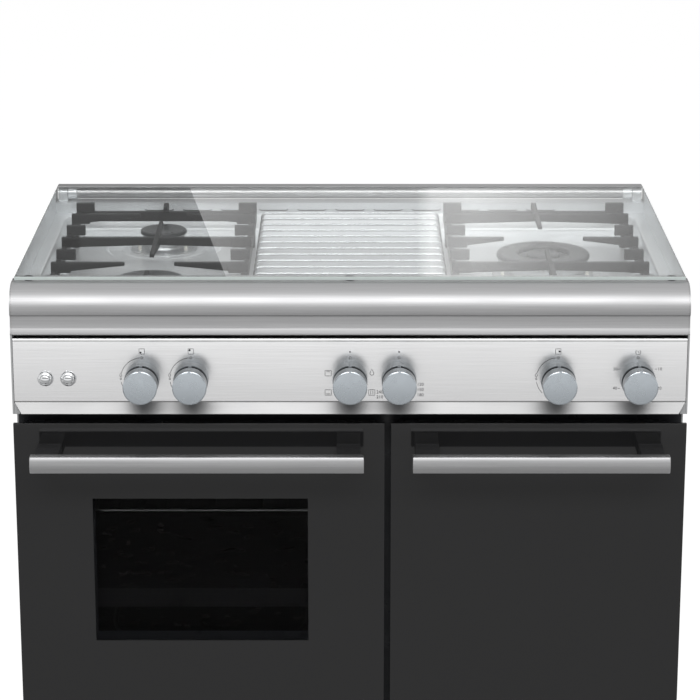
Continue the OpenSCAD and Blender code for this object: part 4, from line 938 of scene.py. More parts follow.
def pane(box, window=None):
    """Glass slab; the cell of the grid that is the window gets the second finish."""
    xs = [box.x0, *(window[:2] if window else ()), box.x1]
    zs = [box.z0, *(window[2:] if window else ()), box.z1]
    across_n = len(xs)
    up_n = len(zs)
    layer = across_n * up_n
    inside = []
    outside = []
    for j in range(up_n - 1):
        for i in range(across_n - 1):
            a = j * across_n + i
            cell = [a, a + 1, a + across_n + 1, a + across_n]
            faces = inside if window and i == 1 and j == 1 else outside
            faces += [cell, [layer + k for k in cell[::-1]]]
    edge = list(range(across_n))
    edge += [j * across_n + across_n - 1 for j in range(1, up_n)]
    edge += [(up_n - 1) * across_n + i for i in range(across_n - 2, -1, -1)]
    edge += [j * across_n for j in range(up_n - 2, 0, -1)]
    outside += [[a, layer + a, layer + b, b] for a, b in zip(edge, edge[1:] + edge[:1])]
    shape = Shape()
    shape.add([(x, d, z) for d in (box.d0, box.d1) for z in zs for x in xs], outside + inside)
    shape.finish = [0] * len(outside) + [1] * len(inside)
    return shape


def oven_door():
    half = 145.0
    box = OVEN_GLASS
    shape = pane(box, (box.x - half, box.x + half, box.z0 + 119, box.z1 - 106))
    piece("oven_door_pane", "oven_door", shape, "door_glass", ["oven_door_glass"], [WINDOW],
          bevel=0.5, steps=3, sharp=60).visible_shadow = False


def store_door():
    piece("store_door_pane", "store_door", pane(STORE_GLASS), "door_glass", ["store_door_glass"],
          bevel=0.5, steps=3, sharp=60)


def drawer_front():
    """Glass face on a folded steel pan that is open at the rear."""
    glass_t = 5.0
    wall = 1.0
    lip = 18.0
    shape = Shape()
    shape.block(DRAWER.x0, DRAWER.x1, DRAWER.d0, glass_t, DRAWER.z0, DRAWER.z1)
    shape.current = 1
    x0 = DRAWER.x0 + 2
    x1 = DRAWER.x1 - 2
    z0 = DRAWER.z0 + 2
    z1 = DRAWER.z1 - 2
    for a, b in ((x0, x0 + wall), (x1 - wall, x1)):
        shape.block(a, b, glass_t, DRAWER.d1, z0, z1)
    for a, b in ((z0, z0 + wall), (z1 - wall, z1)):
        shape.block(x0 + wall, x1 - wall, glass_t, DRAWER.d1, a, b)
    for a, b in ((x0 + wall, x0 + lip), (x1 - lip, x1 - wall)):
        shape.block(a, b, DRAWER.d1 - wall, DRAWER.d1, z0 + wall, z1 - wall)
    for a, b in ((z0 + wall, z0 + lip), (z1 - lip, z1 - wall)):
        shape.block(x0 + lip, x1 - lip, DRAWER.d1 - wall, DRAWER.d1, a, b)
    piece("drawer_face", "drawer", shape, "door_glass", ["drawer_front"], [FINISH["black_enamel"]],
          bevel=0.4)


def handle(name, body, node):
    """Bar with a softly bowed front, soft edges and flat top, on two dark brackets."""
    box = Extent(node)
    back_d = box.d0 + 16.0
    bow = 24.0
    soft = 2.1
    half = (box.z1 - box.z0) / 2
    bracket_w = 32.0
    bracket_inset = 4.4
    centre_d = box.d0 + 4.15
    turn = math.degrees(math.asin((half - soft) / (bow - soft)))
    front = arc(box.d0 + bow, box.z, bow, 180 - turn, 180 + turn, 16)
    section = arc(centre_d, box.z1 - soft, soft, 90, 180 - turn, 6)[:-1] + front
    section += arc(centre_d, box.z0 + soft, soft, 180 + turn, 270, 6)[1:]
    section += arc(back_d - 1, box.z0 + 1, 1, 270, 360, 4) + arc(back_d - 1, box.z1 - 1, 1, 0, 90, 4)
    middle = box.d0 + 8.0
    ends = [(box.x0, 0.93), (box.x0 + 0.35, 0.97), (box.x0 + 1.0, 1.0)]
    ends += [(box.x1 - 1.0, 1.0), (box.x1 - 0.35, 0.97), (box.x1, 0.93)]
    shape = Shape()
    shape.loft([[(x, middle + (d - middle) * s, box.z + (z - box.z) * s) for d, z in section] for x,
        s in ends])
    shape.current = 1
    for x in (box.x0 + bracket_inset, box.x1 - bracket_inset - bracket_w):
        low = box.z0 + 4
        high = box.z1 - 1.2
        ring = [
            (middle, low), (box.d1 - 3, low), (box.d1, low - 2.2), (box.d1, high), (box.d1 - 3, high - 1.5),
            (middle, high),
        ]
        shape.bar(ring, x, x + bracket_w)
    piece(name, body, shape, "handle_steel", [node], [DARK], bevel=0.6, steps=3, sharp=50, flats=True)


# Hob


GRATE_LEFT = Extent("grate_left")
GRATE_RIGHT = Extent("grate_right")
BAR_T = 8.0
BAR_PITCH = (GRATE_LEFT.d1 - GRATE_LEFT.d0 - BAR_T) / 6
REAR_BURNER = (GRATE_LEFT.x, GRATE_LEFT.d + 2 * BAR_PITCH, 34.0)
FRONT_BURNER = (GRATE_LEFT.x, GRATE_LEFT.d - 2 * BAR_PITCH, 48.0)
RING_BURNER = (GRATE_RIGHT.x, GRATE_RIGHT.d, 66.0)
DECK_Z = GRATE_LEFT.z0
LEDGE_Z = DECK_Z + 21
DISH_Z = DECK_Z - 3


def rounded_box(half_x, d0, d1, radius, count=10):
    """Loop round a rectangle with rounded corners."""
    loop = []
    for sx, d, start in ((1, d1 - radius, 0), (-1, d1 - radius, 90), (-1, d0 + radius, 180),
            (1, d0 + radius, 270)):
        loop += arc(sx * (half_x - radius), d, radius, start, start + 90, count)
    return loop


def circle(x, d, radius, count=72):
    return arc(x, d, radius, 0, 360, count)[:-1]


def hob_tray():
    """Pressed steel hob: ledge, sloping walls with rolled edges, floor and burner dishes."""
    well_half = HOB.x1 - 20
    well_front = 60.0
    well_rear = TRIM.d0 - 12
    corner = 30.0
    walls = [
        (4.2, LEDGE_Z), (2.6, LEDGE_Z - 0.15), (1.2, LEDGE_Z - 0.8), (0.2, LEDGE_Z - 1.9),
        (-0.6, LEDGE_Z - 3.2), (-8.6, DECK_Z + 5.0), (-9.6, DECK_Z + 3.2), (-11, DECK_Z + 1.5),
        (-12.8, DECK_Z + 0.4), (-15, DECK_Z),
    ]
    loops = [(rounded_box(well_half + g, well_front - g, well_rear + g, corner + g), z) for g, z in walls]
    shape = Shape()
    shape.loft([[(x, d, z) for x, d in loop] for loop, z in loops], ends=False)

    ledge_rear = HOB.d1 - 1
    outer = [(HOB.x0 + 1, HOB.d0 + 1), (HOB.x1 - 1, HOB.d0 + 1), (HOB.x1 - 1, ledge_rear),
        (HOB.x0 + 1, ledge_rear)]
    shape.fill([outer, loops[0][0]], LEDGE_Z)

    dishes = [(REAR_BURNER, 86.0), (FRONT_BURNER, 70.0), (RING_BURNER, 86.0)]
    rims = []
    for (x, d, cap), rim in dishes:
        steps = [
            (rim, DECK_Z), (rim - 1.2, DECK_Z - 0.15), (rim - 2.4, DECK_Z - 0.8), (rim - 4.2, DISH_Z + 0.8),
            (rim - 5.4, DISH_Z + 0.15), (rim - 7, DISH_Z),
        ]
        if cap < 60 and rim > 80:
            ridge = cap + 27
            steps += [(ridge + 2, DISH_Z), (ridge + 0.8, DISH_Z + 0.9), (ridge - 0.8, DISH_Z + 1.3),
                (ridge - 3, DISH_Z + 1.3)]
        steps.append((cap - 9.5, steps[-1][1]))
        shape.loft([[(px, pd, z) for px, pd in circle(x, d, r)] for r, z in steps], ends=False)
        rims.append(circle(x, d, rim))
    shape.fill([loops[-1][0]] + rims, DECK_Z)
    piece("hob_pressing", "cabinet", shape, "tray_steel", ["hob_tray"],
          sheet=0.8, flats=True, sharp=50, welded=True)

    flange = Shape()
    top = HOB.z1
    for s in (-1, 1):
        flange.block(min(s * HOB.x1, s * (HOB.x1 - 1)), max(s * HOB.x1, s * (HOB.x1 - 1)), HOB.d0, TRIM.d0,
            LEDGE_Z - 1, top)
    flange.block(HOB.x0 + 1, HOB.x1 - 1, HOB.d0, HOB.d0 + 1, LEDGE_Z - 1, top)
    piece("hob_flanges", "cabinet", flange, "tray_steel", bevel=0.3)


def cast_bar(shape, start, end, half_start, half_end, z0, z1, drop=0.0):
    """Cast bar that narrows to one end, with a slight draft and a thinner tip underneath."""
    start = Vector(start)
    end = Vector(end)
    along = (end - start).normalized()
    side = Vector((-along.y, along.x))
    rings = []
    for spot, half, low in ((start, half_start, z0), (end, half_end, z0 + drop)):
        top = half - 0.5
        rings.append([
            (*(spot - side * top), z1), (*(spot - side * half), z1 - 3), (*(spot - side * half), low),
            (*(spot + side * half), low), (*(spot + side * half), z1 - 3), (*(spot + side * top), z1),
        ])
    shape.loft(rings)


def grate(name, box, ringed):
    """One cast grate: lower frame, end blocks, bars, fingers and feet."""
    top = box.z1
    bar_z = top - 15
    frame_z = top - 13
    low_z = bar_z - 13
    end_l = 27.0
    half = BAR_T / 2
    tip = 3.25
    x_half = (box.x1 - box.x0) / 2
    shape = Shape()

    for s in (-1, 1):
        cast_bar(shape, (box.x + s * (x_half - half), box.d0), (box.x + s * (x_half - half), box.d1), half,
            half, low_z, frame_z)
        for k in range(-3, 4):
            d = box.d + k * BAR_PITCH
            cast_bar(shape, (box.x + s * x_half, d), (box.x + s * (x_half - end_l), d), half, half, bar_z,
                top)
        for k in (-2, 2):
            d = box.d + k * BAR_PITCH
            cast_bar(shape, (box.x + s * x_half, d), (box.x + s * (x_half - 10), d), half, half, DECK_Z + 2,
                frame_z)
    for d in (box.d0 + half, box.d1 - half):
        cast_bar(shape, (box.x0, d), (box.x1, d), half, half, low_z, frame_z)

    def across_bar(k):
        d = box.d + k * BAR_PITCH
        for x in (box.x0, box.x1):
            cast_bar(shape, (x, d), (box.x, d), half, half, bar_z, top, 4)

    def side_pair(k, gap):
        d = box.d + k * BAR_PITCH
        for s in (-1, 1):
            cast_bar(shape, (box.x + s * x_half, d), (box.x + s * gap, d), half, tip, bar_z, top, 10)

    def deep(d_from, d_to):
        cast_bar(shape, (box.x, d_from), (box.x, d_to), half, tip, bar_z, top, 10)

    ends = (box.d0 + half, box.d1 - half)
    if ringed:
        across_bar(2)
        across_bar(-2)
        side_pair(0, 56)
        for d, s in zip(ends, (-1, 1)):
            deep(d, box.d + s * 66)
    else:
        across_bar(0)
        side_pair(2, 34)
        side_pair(-2, 34)
        for d, s in zip(ends, (-1, 1)):
            deep(d, box.d + s * (2 * BAR_PITCH + 44))
            deep(box.d, box.d + s * (2 * BAR_PITCH - 44))
    piece(name + "_cast", "cabinet", shape, "cast_grate", [name], bevel=1.1, sharp=40)


def grate_feet():
    """Rubber pads under the grates' legs."""
    shape = Shape()
    for box in (GRATE_LEFT, GRATE_RIGHT):
        for x in (box.x0 + 5, box.x1 - 5):
            for k in (-2, 2):
                spot = upright(x, box.d + k * BAR_PITCH, DECK_Z)
                shape.turned([(4.6, 0.02), (4.6, 2.2), (3.6, 3.4), (0, 3.4)], spot, 20)
    piece("grate_pads", "cabinet", shape, "rubber_black", bevel=0.3)


def wire_rack():
    """Cross wires that bend down to the side wires at both ends, and four legs."""
    wire_r = 2.2
    pitch = BAR_PITCH / 2
    count = 12
    bend = 9.0
    top_z = RACK.z1 - wire_r
    low_z = top_z - 18
    x = RACK.x1 - wire_r
    first = (RACK.d0 + RACK.d1) / 2 - pitch * (count - 1) / 2
    shape = Shape()
    for i in range(count):
        d = first + i * pitch
        shape.tube(softened([(-x, d, low_z), (-x, d, top_z), (x, d, top_z), (x, d, low_z)], bend, 7),
            wire_r, 14)
    for s in (-1, 1):
        ends = (RACK.d0 + wire_r, RACK.d1 - wire_r)
        shape.tube([(s * x, ends[0] - 1.5, low_z), (s * x, ends[1] + 1.5, low_z)], wire_r, 14)
        for d in (first + pitch, first + (count - 2) * pitch):
            shape.tube([(s * x, d, low_z), (s * x, d, DECK_Z + 0.2)], wire_r - 0.3, 12)
    piece("rack_wires", "cabinet", shape, "wire_chrome", ["wire_rack"], bevel=0.4, sharp=60)


def flame_ring(shape, x, d, outer, inner, z0, z1, ports):
    """Burner head with a ring of flame ports cut in its rim; inner is 0 for a full head."""
    steps = ports * 4
    lift = z1 - z0
    spot = upright(x, d, z0)
    levels = [
        (outer - 3.2, 0.0, False), (outer - 2.4, 0.6, False), (outer - 0.4, 2.6, False), (outer, 3.4, False),
        (outer, lift - 6.4, False), (outer, lift - 6.0, True), (outer, lift - 0.9, True),
        (outer, lift - 0.5, False), (outer - 0.3, lift, False),
    ]
    depth = 2.0
    rings = []
    for radius, height, cut in levels:
        cuts = [depth if cut and i % 4 in (0, 1) else 0 for i in range(steps)]
        rings.append([spot(t, radius - into, height) for t, into in zip(turns(steps), cuts)])
    if inner:
        for height in (lift, 0):
            rings.append([spot(t, inner, height) for t in turns(steps)])
        shape.loft(rings, looped=True)
    else:
        shape.loft(rings)


def burner_heads():
    """Aluminium heads with flame ports, and their seats on the hob."""
    shape = Shape()
    z0 = HEADS.z0
    z1 = HEADS.z1
    for (x, d, cap), ports in ((REAR_BURNER, 24), (FRONT_BURNER, 36)):
        flame_ring(shape, x, d, cap - 3, 0, z0, z1, ports)
    x, d, cap = RING_BURNER
    flame_ring(shape, x, d, cap - 2, 38.6, z0, z1, 60)
    flame_ring(shape, x, d, 21, 0, z0, z1, 18)
    for a in (90, 210, 330):
        t = math.radians(a)
        along = Vector((math.cos(t), math.sin(t)))
        base = Vector((x, d))
        cast_bar(shape, base + along * 19, base + along * 41, 5, 5, z0, z0 + 5)
    piece("burner_rings", "cabinet", shape, "burner_aluminium", ["burner_heads"], sharp=30)

    seats = Shape()
    for x, d, cap in (REAR_BURNER, FRONT_BURNER, RING_BURNER):
        flare = cap + 15 if cap < 60 else cap + 6
        profile = [
            (flare, DISH_Z + 0.05), (flare, DISH_Z + 1.6), (flare - 1.5, DISH_Z + 2.4), (cap + 1,
                DISH_Z + 3.4),
            (cap - 5, DISH_Z + 5.4), (cap - 7, z0 + 0.1), (cap - 11, z0 + 0.1), (cap - 11, DISH_Z - 0.6),
            (flare - 5, DISH_Z - 0.6 + 0.65),
        ]
        seats.turned([(r, h - DISH_Z) for r, h in profile], upright(x, d, DISH_Z), 96, looped=True)
    piece("burner_seats", "cabinet", seats, "burner_aluminium", bevel=0.3)


def burner_caps():
    """Loose enamelled caps with soft rims and a slight crown."""
    shape = Shape()
    z0 = CAPS.z0
    z1 = CAPS.z1
    height = z1 - z0
    crown = 0.9
    for x, d, cap in (REAR_BURNER, FRONT_BURNER, (RING_BURNER[0], RING_BURNER[1], 24.0)):
        soft = 3.2
        edge = [(cap - soft + soft * math.cos(math.radians(a)),
            height - crown - soft + soft * math.sin(math.radians(a)))
                for a in range(0, 91, 10)]
        crowned = [(cap * s, height - crown * s * s) for s in (0.75, 0.5, 0.25)]
        profile = [(0, 0.05), (cap - 1.2, 0.05), (cap, 0.9)] + edge + crowned + [(0, height)]
        shape.turned(profile, upright(x, d, z0), 96)
    x, d, cap = RING_BURNER
    inner = 36.6
    soft = 3.4
    outer_edge = [(cap - soft + soft * math.cos(math.radians(a)),
        height - soft + soft * math.sin(math.radians(a)))
                  for a in range(0, 91, 10)]
    inner_edge = [(inner + soft - soft * math.cos(math.radians(a)),
        height - soft + soft * math.sin(math.radians(a)))
                  for a in range(90, -1, -10)]
    shape.turned([(inner, 0.05), (cap - 1, 0.05), (cap, 0.9)] + outer_edge + inner_edge, upright(x, d, z0),
        128, looped=True)
    piece("burner_lids", "cabinet", shape, "burner_enamel", ["burner_caps"], sharp=35)


def burner_probes():
    """Spark plug and flame sensor at each burner: ceramic body and steel tip."""
    shape = Shape()
    top = HEADS.z1
    reach = 7.0
    tip_r = 0.9
    for x, d, cap in (REAR_BURNER, FRONT_BURNER, RING_BURNER):
        for a in (215, 325):
            t = math.radians(a)
            spot = upright(x + (cap + reach) * math.cos(t), d + (cap + reach) * math.sin(t), DISH_Z)
            lift = top - DISH_Z
            shape.current = 0
            shape.turned([(2.5, 0.1), (2.5, lift - 8), (1.8, lift - 6), (1.8, lift - 4), (0, lift - 4)],
                spot, 20)
            shape.current = 1
            shape.turned([(3.4, 0.1), (3.4, 3.0), (2.55, 4.2), (2.55, 0.1)], spot, 24, looped=True)
            shape.turned([(tip_r, lift - 4.2), (tip_r, lift - 0.6), (0.4, lift), (0, lift)], spot, 12)
    piece("burner_sparkers", "cabinet", shape, "probe_ceramic", ["burner_probes"],
          [FINISH["chrome"]], bevel=0.2)


# Lid


def lid():
    """Glass plate with ground edges, its rear channel, and the hinge tube with end caps."""
    plate = Shape()
    plate.slab([(LID.x0, LID.d0), (LID.x1, LID.d0), (LID.x1, LID.d1), (LID.x0, LID.d1)], LID.z0, LID.z1)
    edges = 4
    plate.finish = [1] * edges + [0] * (len(plate.faces) - edges)
    glass = piece("lid_plate", "lid", plate, "lid_glass", ["lid_glass"], [EDGE], bevel=0.8, steps=3)
    glass.visible_shadow = False
    glass.visible_diffuse = False

    channel = Shape()
    outer = [(STRIP.d0, STRIP.z1), (STRIP.d1 - 1.2, STRIP.z1), (STRIP.d1, STRIP.z1 - 1.2),
        (STRIP.d1, STRIP.z0 + 1.2),
             (STRIP.d1 - 1.2, STRIP.z0), (STRIP.d0, STRIP.z0)]
    inner = [(STRIP.d0, LID.z0 - 0.02), (LID.d1 + 0.05, LID.z0 - 0.02), (LID.d1 + 0.05, LID.z1 + 0.02),
        (STRIP.d0, LID.z1 + 0.02)]
    channel.bar(outer + inner, STRIP.x0, STRIP.x1)
    piece("lid_channel", "lid", channel, "rail_steel", ["lid_strip"], bevel=0.25)

    tube = Shape()
    axis_z = TUBE.z0 + 10
    axis_d = (TUBE.d0 + TUBE.d1) / 2
    tube_r = 8.5
    cap_l = 14.0
    tube.turned([(tube_r - 1.5, 0), (tube_r, 0), (tube_r, TUBE.x1 - TUBE.x0 - 2),
        (tube_r - 1.5, TUBE.x1 - TUBE.x0 - 2)],
                across(TUBE.x0 + 1, axis_d, axis_z), 48, looped=True)
    cap_r = 9.4
    tube.current = 1
    for spot in (across(TUBE.x0, axis_d, axis_z), sideways(TUBE.x1, axis_d, axis_z)):
        profile = [(4.1, 0), (cap_r - 0.8, 0), (cap_r, 0.8), (cap_r, cap_l - 0.5), (cap_r - 0.6, cap_l),
            (4.1, cap_l)]
        tube.turned(profile, spot, 40, looped=True)
    piece("lid_hinge_tube", "lid", tube, "handle_steel", ["lid_tube"], [FINISH["tray_steel"]], bevel=0.3)


def lid_brackets():
    """Hinge brackets on the rear shelf, with the pins that carry the tube."""
    shape = Shape()
    axis_z = TUBE.z0 + 10
    axis_d = (TUBE.d0 + TUBE.d1) / 2
    boss = 8.0
    pin = 4.0
    for s in (-1, 1):
        outer_x = BRACKETS.x1 * s
        inner_x = (BRACKETS.x1 - 13.5) * s
        cheek = arc(axis_d, axis_z, boss, 0, 180, 18) + [(axis_d - boss, TRIM.z1),
            (axis_d + boss - 0.5, TRIM.z1)]
        shape.bar(cheek, min(outer_x, inner_x), max(outer_x, inner_x))
        spot = sideways(inner_x, axis_d, axis_z) if s > 0 else across(inner_x, axis_d, axis_z)
        shape.turned([(pin, -1), (pin, 11), (pin - 1, 12), (0, 12)], spot, 24)
        bolt = upright((outer_x + inner_x) / 2, axis_d, TRIM.z1)
        shape.turned([(3.4, boss * 2 + 1.4), (3.4, boss * 2 + 1.6), (0, boss * 2 + 1.6)], bolt, 6)
    piece("lid_cheeks", "cabinet", shape, "rail_steel", ["lid_brackets"], main=FINISH["tray_steel"],
        bevel=0.6)


def rear_trim():
    """Rear wall with fine vents, turned up at both ends, and the shelf behind it."""
    pitch = 58.0
    vent_half = 22.0
    vent_h = 2.0
    rise = 1.6
    count = 11
    low = LEDGE_Z + 3
    loops = [rectangle(TRIM.x0, TRIM.x1, LEDGE_Z, TRIM.z1 - SHEET)]
    turned_up = 3.5
    for i in range(count):
        x = (i - (count - 1) / 2) * pitch
        flat = vent_half - turned_up
        under = [(x - vent_half, low + rise), (x - flat, low), (x + flat, low), (x + vent_half, low + rise)]
        loops.append(under + [(px, z + vent_h) for px, z in reversed(under)])
    shape = Shape()
    depths = (TRIM.d0, TRIM.d0 + SHEET)
    for d in depths:
        shape.add([(x, d, z) for loop in loops for x, z in loop], flat_faces(loops))
    for loop in loops:
        shape.loft([[(x, d, z) for x, z in loop] for d in depths], ends=False)
    shelf = [
        (TRIM.d0, TRIM.z1), (TRIM.d1, TRIM.z1), (TRIM.d1, LEDGE_Z), (TRIM.d1 - SHEET, LEDGE_Z),
        (TRIM.d1 - SHEET, TRIM.z1 - SHEET), (TRIM.d0, TRIM.z1 - SHEET),
    ]
    shape.bar(shelf, TRIM.x0, TRIM.x1)
    # The dark sheet close behind the vents is painted shade, so the slots read dark.
    shape.current = 1
    vent_shade_d = TRIM.d0 + SHEET + 0.6
    shape.block(TRIM.x0 + 1, TRIM.x1 - 1, vent_shade_d, vent_shade_d + SHEET, LEDGE_Z + 0.5, TRIM.z1 - SHEET - 0.2)
    piece("rear_wall", "cabinet", shape, "tray_steel", ["rear_trim"], [DARK], welded=True)


# Cabinet


def side_panels():
    """Painted sides with soft edges, following the front's steps."""
    play = 0.5
    line = [
        (44, SIDES.z0), (44, PANEL.z0), (play, PANEL.z0), (play, RAIL.z0), (RAIL.d1, RAIL.z0),
        (RAIL.d1, SIDES.z1), (SIDES.d1, SIDES.z1), (SIDES.d1, SIDES.z0),
    ]
    shape = Shape()
    wall = 2.5
    for x in (SIDES.x0, SIDES.x1 - wall):
        shape.bar(line, x, x + wall)
    for x in (SIDES.x0 + wall, SIDES.x1 - MITRE):
        shape.block(x, x + MITRE - wall, play, play + 1.5, PANEL.z0, FOLD_Z - 1.5)
    piece("side_skins", "cabinet", shape, "side_paint", ["side_panels"], bevel=0.6, steps=3)


def screw(shape, spot, radius=3.6):
    """Pan-head screw with a hexagon socket."""
    height = radius * 0.6
    socket = radius * 0.42
    shape.turned([
        (radius, 0), (radius, height * 0.35), (radius * 0.86, height * 0.8), (radius * 0.55, height),
        (socket, height), (socket, height * 0.3), (0, height * 0.3),
    ], spot, 24)


def fasteners():
    """Screws along the back panel, the rear trim and the sides."""
    shape = Shape()
    edge = 12.0
    rows = 6
    for i in range(rows):
        z = BACK.z0 + edge + (BACK.z1 - BACK.z0 - 2 * edge) * i / (rows - 1)
        for x in (BACK.x0 + edge, BACK.x1 - edge):
            screw(shape, behind(x, BACK.d1, z))
    for i in range(1, 6):
        x = BACK.x0 + edge + (BACK.x1 - BACK.x0 - 2 * edge) * i / 6
        screw(shape, behind(x, BACK.d1, BACK.z0 + edge))
        screw(shape, behind(x, TRIM.d1, TRIM.z0 + 8), 3.0)
    for s, spot in ((-1, sideways), (1, across)):
        for d in (80, 320, 540):
            screw(shape, spot(s * SIDES.x1 - s * 2.6, d, BACK.z0 + 14), 3.4)
    piece("body_screws", "cabinet", shape, "chrome", sharp=40)


def back_ribs():
    """Pressed stiffening beads on the back panel."""
    shape = Shape()
    rib_h = 2.6
    half = 9.0
    for z in (BACK.z0 + 150, BACK.z0 + 320, BACK.z0 + 490):
        count = 16
        for x0, x1 in ((BACK.x0 + 60, -40), (40, BACK.x1 - 60)):
            rings = []
            for x, s in ((x0, 0.1), (x0 + 5, 0.7), (x0 + 12, 1.0), (x1 - 12, 1.0), (x1 - 5, 0.7), (x1, 0.1)):
                bead = [(BACK.d1 - 0.3 + rib_h * s * math.sin(math.pi * i / count),
                    z - half * s * math.cos(math.pi * i / count))
                        for i in range(count + 1)]
                rings.append([(x, d, h) for d, h in bead])
            shape.loft(rings)
    piece("back_beads", "cabinet", shape, "zinc_sheet", sharp=50)


def foot(name):
    """Levelling foot: soft-edged pad, hexagon nut and ribbed stem."""
    box = Extent(name)
    spot = upright(box.x, box.d, 0)
    shape = Shape()
    shape.turned([(0, 0), (18.6, 0), (19.6, 0.6), (20, 1.8), (20, 7.6), (19.2, 9.8), (16.5, 11.6), (9, 12),
        (5, 12)], spot, 56)
    shape.turned([(9, 11.9), (9, 17.5), (0, 17.5)], spot, 6)
    shape.current = 1
    thread = []
    pitch = 1.75
    height = 17.0
    while height < box.z1 - pitch:
        thread += [(4.35, height), (5.0, height + pitch * 0.35), (5.0, height + pitch * 0.6),
            (4.35, height + pitch)]
        height += pitch
    shape.turned(thread + [(0, box.z1)], spot, 28)
    piece(name + "_pad", name, shape, "foot_plastic", [name], [FINISH["zinc_sheet"]], sharp=34)


def oven_fan_cover():
    """Pressed cover on the oven's rear wall."""
    shape = Shape()
    wall_d = CAVITY.d1 - 1
    x = CAVITY.x
    z = (CAVITY.z0 + CAVITY.z1) / 2 - 6
    shape.turned([(92, 0.1), (90, 3.4), (84, 6), (30, 7), (0, 7)], facing(x, wall_d, z), 80)
    piece("oven_rear_cover", "cabinet", shape, "black_enamel", sharp=50)


# Studio


def calculated(tree, operation, first, second):
    node = tree.nodes.new("ShaderNodeMath")
    node.operation = operation
    for socket, value in zip(node.inputs, (first, second)):
        if isinstance(value, bpy.types.NodeSocket):
            tree.links.new(value, socket)
        else:
            socket.default_value = value
    return node.outputs[0]


def emitter(name, strength_of, size, place, turn=0.0):
    """A stage card that only reflections see, the ones inside clear glass too."""
    material = bpy.data.materials.new(name)
    material.use_nodes = True
    tree = material.node_tree
    tree.nodes.clear()
    glow = tree.nodes.new("ShaderNodeEmission")
    clear = tree.nodes.new("ShaderNodeBsdfTransparent")
    mix = tree.nodes.new("ShaderNodeMixShader")
    path = tree.nodes.new("ShaderNodeLightPath")
    out = tree.nodes.new("ShaderNodeOutputMaterial")
    mirrored = calculated(tree, "GREATER_THAN", path.outputs["Glossy Depth"], 0.5)
    outside = calculated(tree, "LESS_THAN", path.outputs["Transmission Depth"], 2.5)
    tree.links.new(calculated(tree, "MULTIPLY", mirrored, outside), mix.inputs[0])
    tree.links.new(clear.outputs[0], mix.inputs[1])
    tree.links.new(glow.outputs[0], mix.inputs[2])
    tree.links.new(mix.outputs[0], out.inputs["Surface"])
    strength_of(tree, glow)
    material.cycles.emission_sampling = "NONE"
    mesh = bpy.data.meshes.new(name)
    w = size[0] / 2
    h = size[1] / 2
    mesh.from_pydata([(-w, -h, 0), (w, -h, 0), (w, h, 0), (-w, h, 0)], [], [(0, 1, 2, 3)])
    mesh.materials.append(material)
    card = bpy.data.objects.new(name, mesh)
    bpy.context.scene.collection.objects.link(card)
    card.location = place
    card.rotation_euler = (math.radians(turn), 0, 0)
    card.visible_camera = False
    card.visible_diffuse = False
    card.visible_shadow = False


def shown_rays(tree):
    """1 for camera, glossy and transmission rays, and 0 for the others."""
    path = tree.nodes.new("ShaderNodeLightPath")
    seen = calculated(tree, "MAXIMUM", path.outputs["Is Camera Ray"], path.outputs["Is Glossy Ray"])
    return calculated(tree, "MAXIMUM", seen, path.outputs["Is Transmission Ray"])


def floor():
    """Pale floor that shows as white and still takes the cooker's shadow."""
    size = 60.0
    albedo = 0.9
    shown_albedo = 0.25
    shown_glow = 0.9
    material = bpy.data.materials.new("studio_floor")
    material.use_nodes = True
    tree = material.node_tree
    shader = tree.nodes["Principled BSDF"]
    shader.inputs["Roughness"].default_value = 0.9
    shader.inputs["Specular IOR Level"].default_value = 0.0
    shader.inputs["Emission Color"].default_value = (1, 1, 1, 1)
    shown = shown_rays(tree)
    base = calculated(tree, "ADD", calculated(tree, "MULTIPLY", shown, shown_albedo - albedo), albedo)
    tree.links.new(base, shader.inputs["Base Color"])
    tree.links.new(calculated(tree, "MULTIPLY", shown, shown_glow), shader.inputs["Emission Strength"])
    material.cycles.emission_sampling = "NONE"
    mesh = bpy.data.meshes.new("studio_floor")
    half = size / 2
    mesh.from_pydata([(-half, -half, 0), (half, -half, 0), (half, half, 0), (-half, half, 0)], [],
        [(0, 1, 2, 3)])
    mesh.materials.append(material)
    plane = bpy.data.objects.new("studio_floor", mesh)
    bpy.context.scene.collection.objects.link(plane)


def world():
    """White behind everything, and a softer level on the surfaces."""
    level = 0.38
    sky = bpy.data.worlds.new("studio")
    bpy.context.scene.world = sky
    sky.use_nodes = True
    tree = sky.node_tree
    back = tree.nodes["Background"]
    back.inputs["Color"].default_value = (1, 1, 1, 1)
    extra = calculated(tree, "MULTIPLY", shown_rays(tree), 1 - level)
    tree.links.new(calculated(tree, "ADD", extra, level), back.inputs["Strength"])


def softbox(name, place, aim, width, height, radiance):
    """Area lamp of a given radiance; its power follows from its size."""
    light = bpy.data.lights.new(name, "AREA")
    light.shape = "RECTANGLE"
    light.size = width
    light.size_y = height
    light.energy = radiance * math.pi * width * height
    lamp = bpy.data.objects.new(name, light)
    bpy.context.scene.collection.objects.link(lamp)
    lamp.location = place
    lamp.rotation_euler = (Vector(aim) - Vector(place)).to_track_quat("-Z", "Y").to_euler()
    return lamp


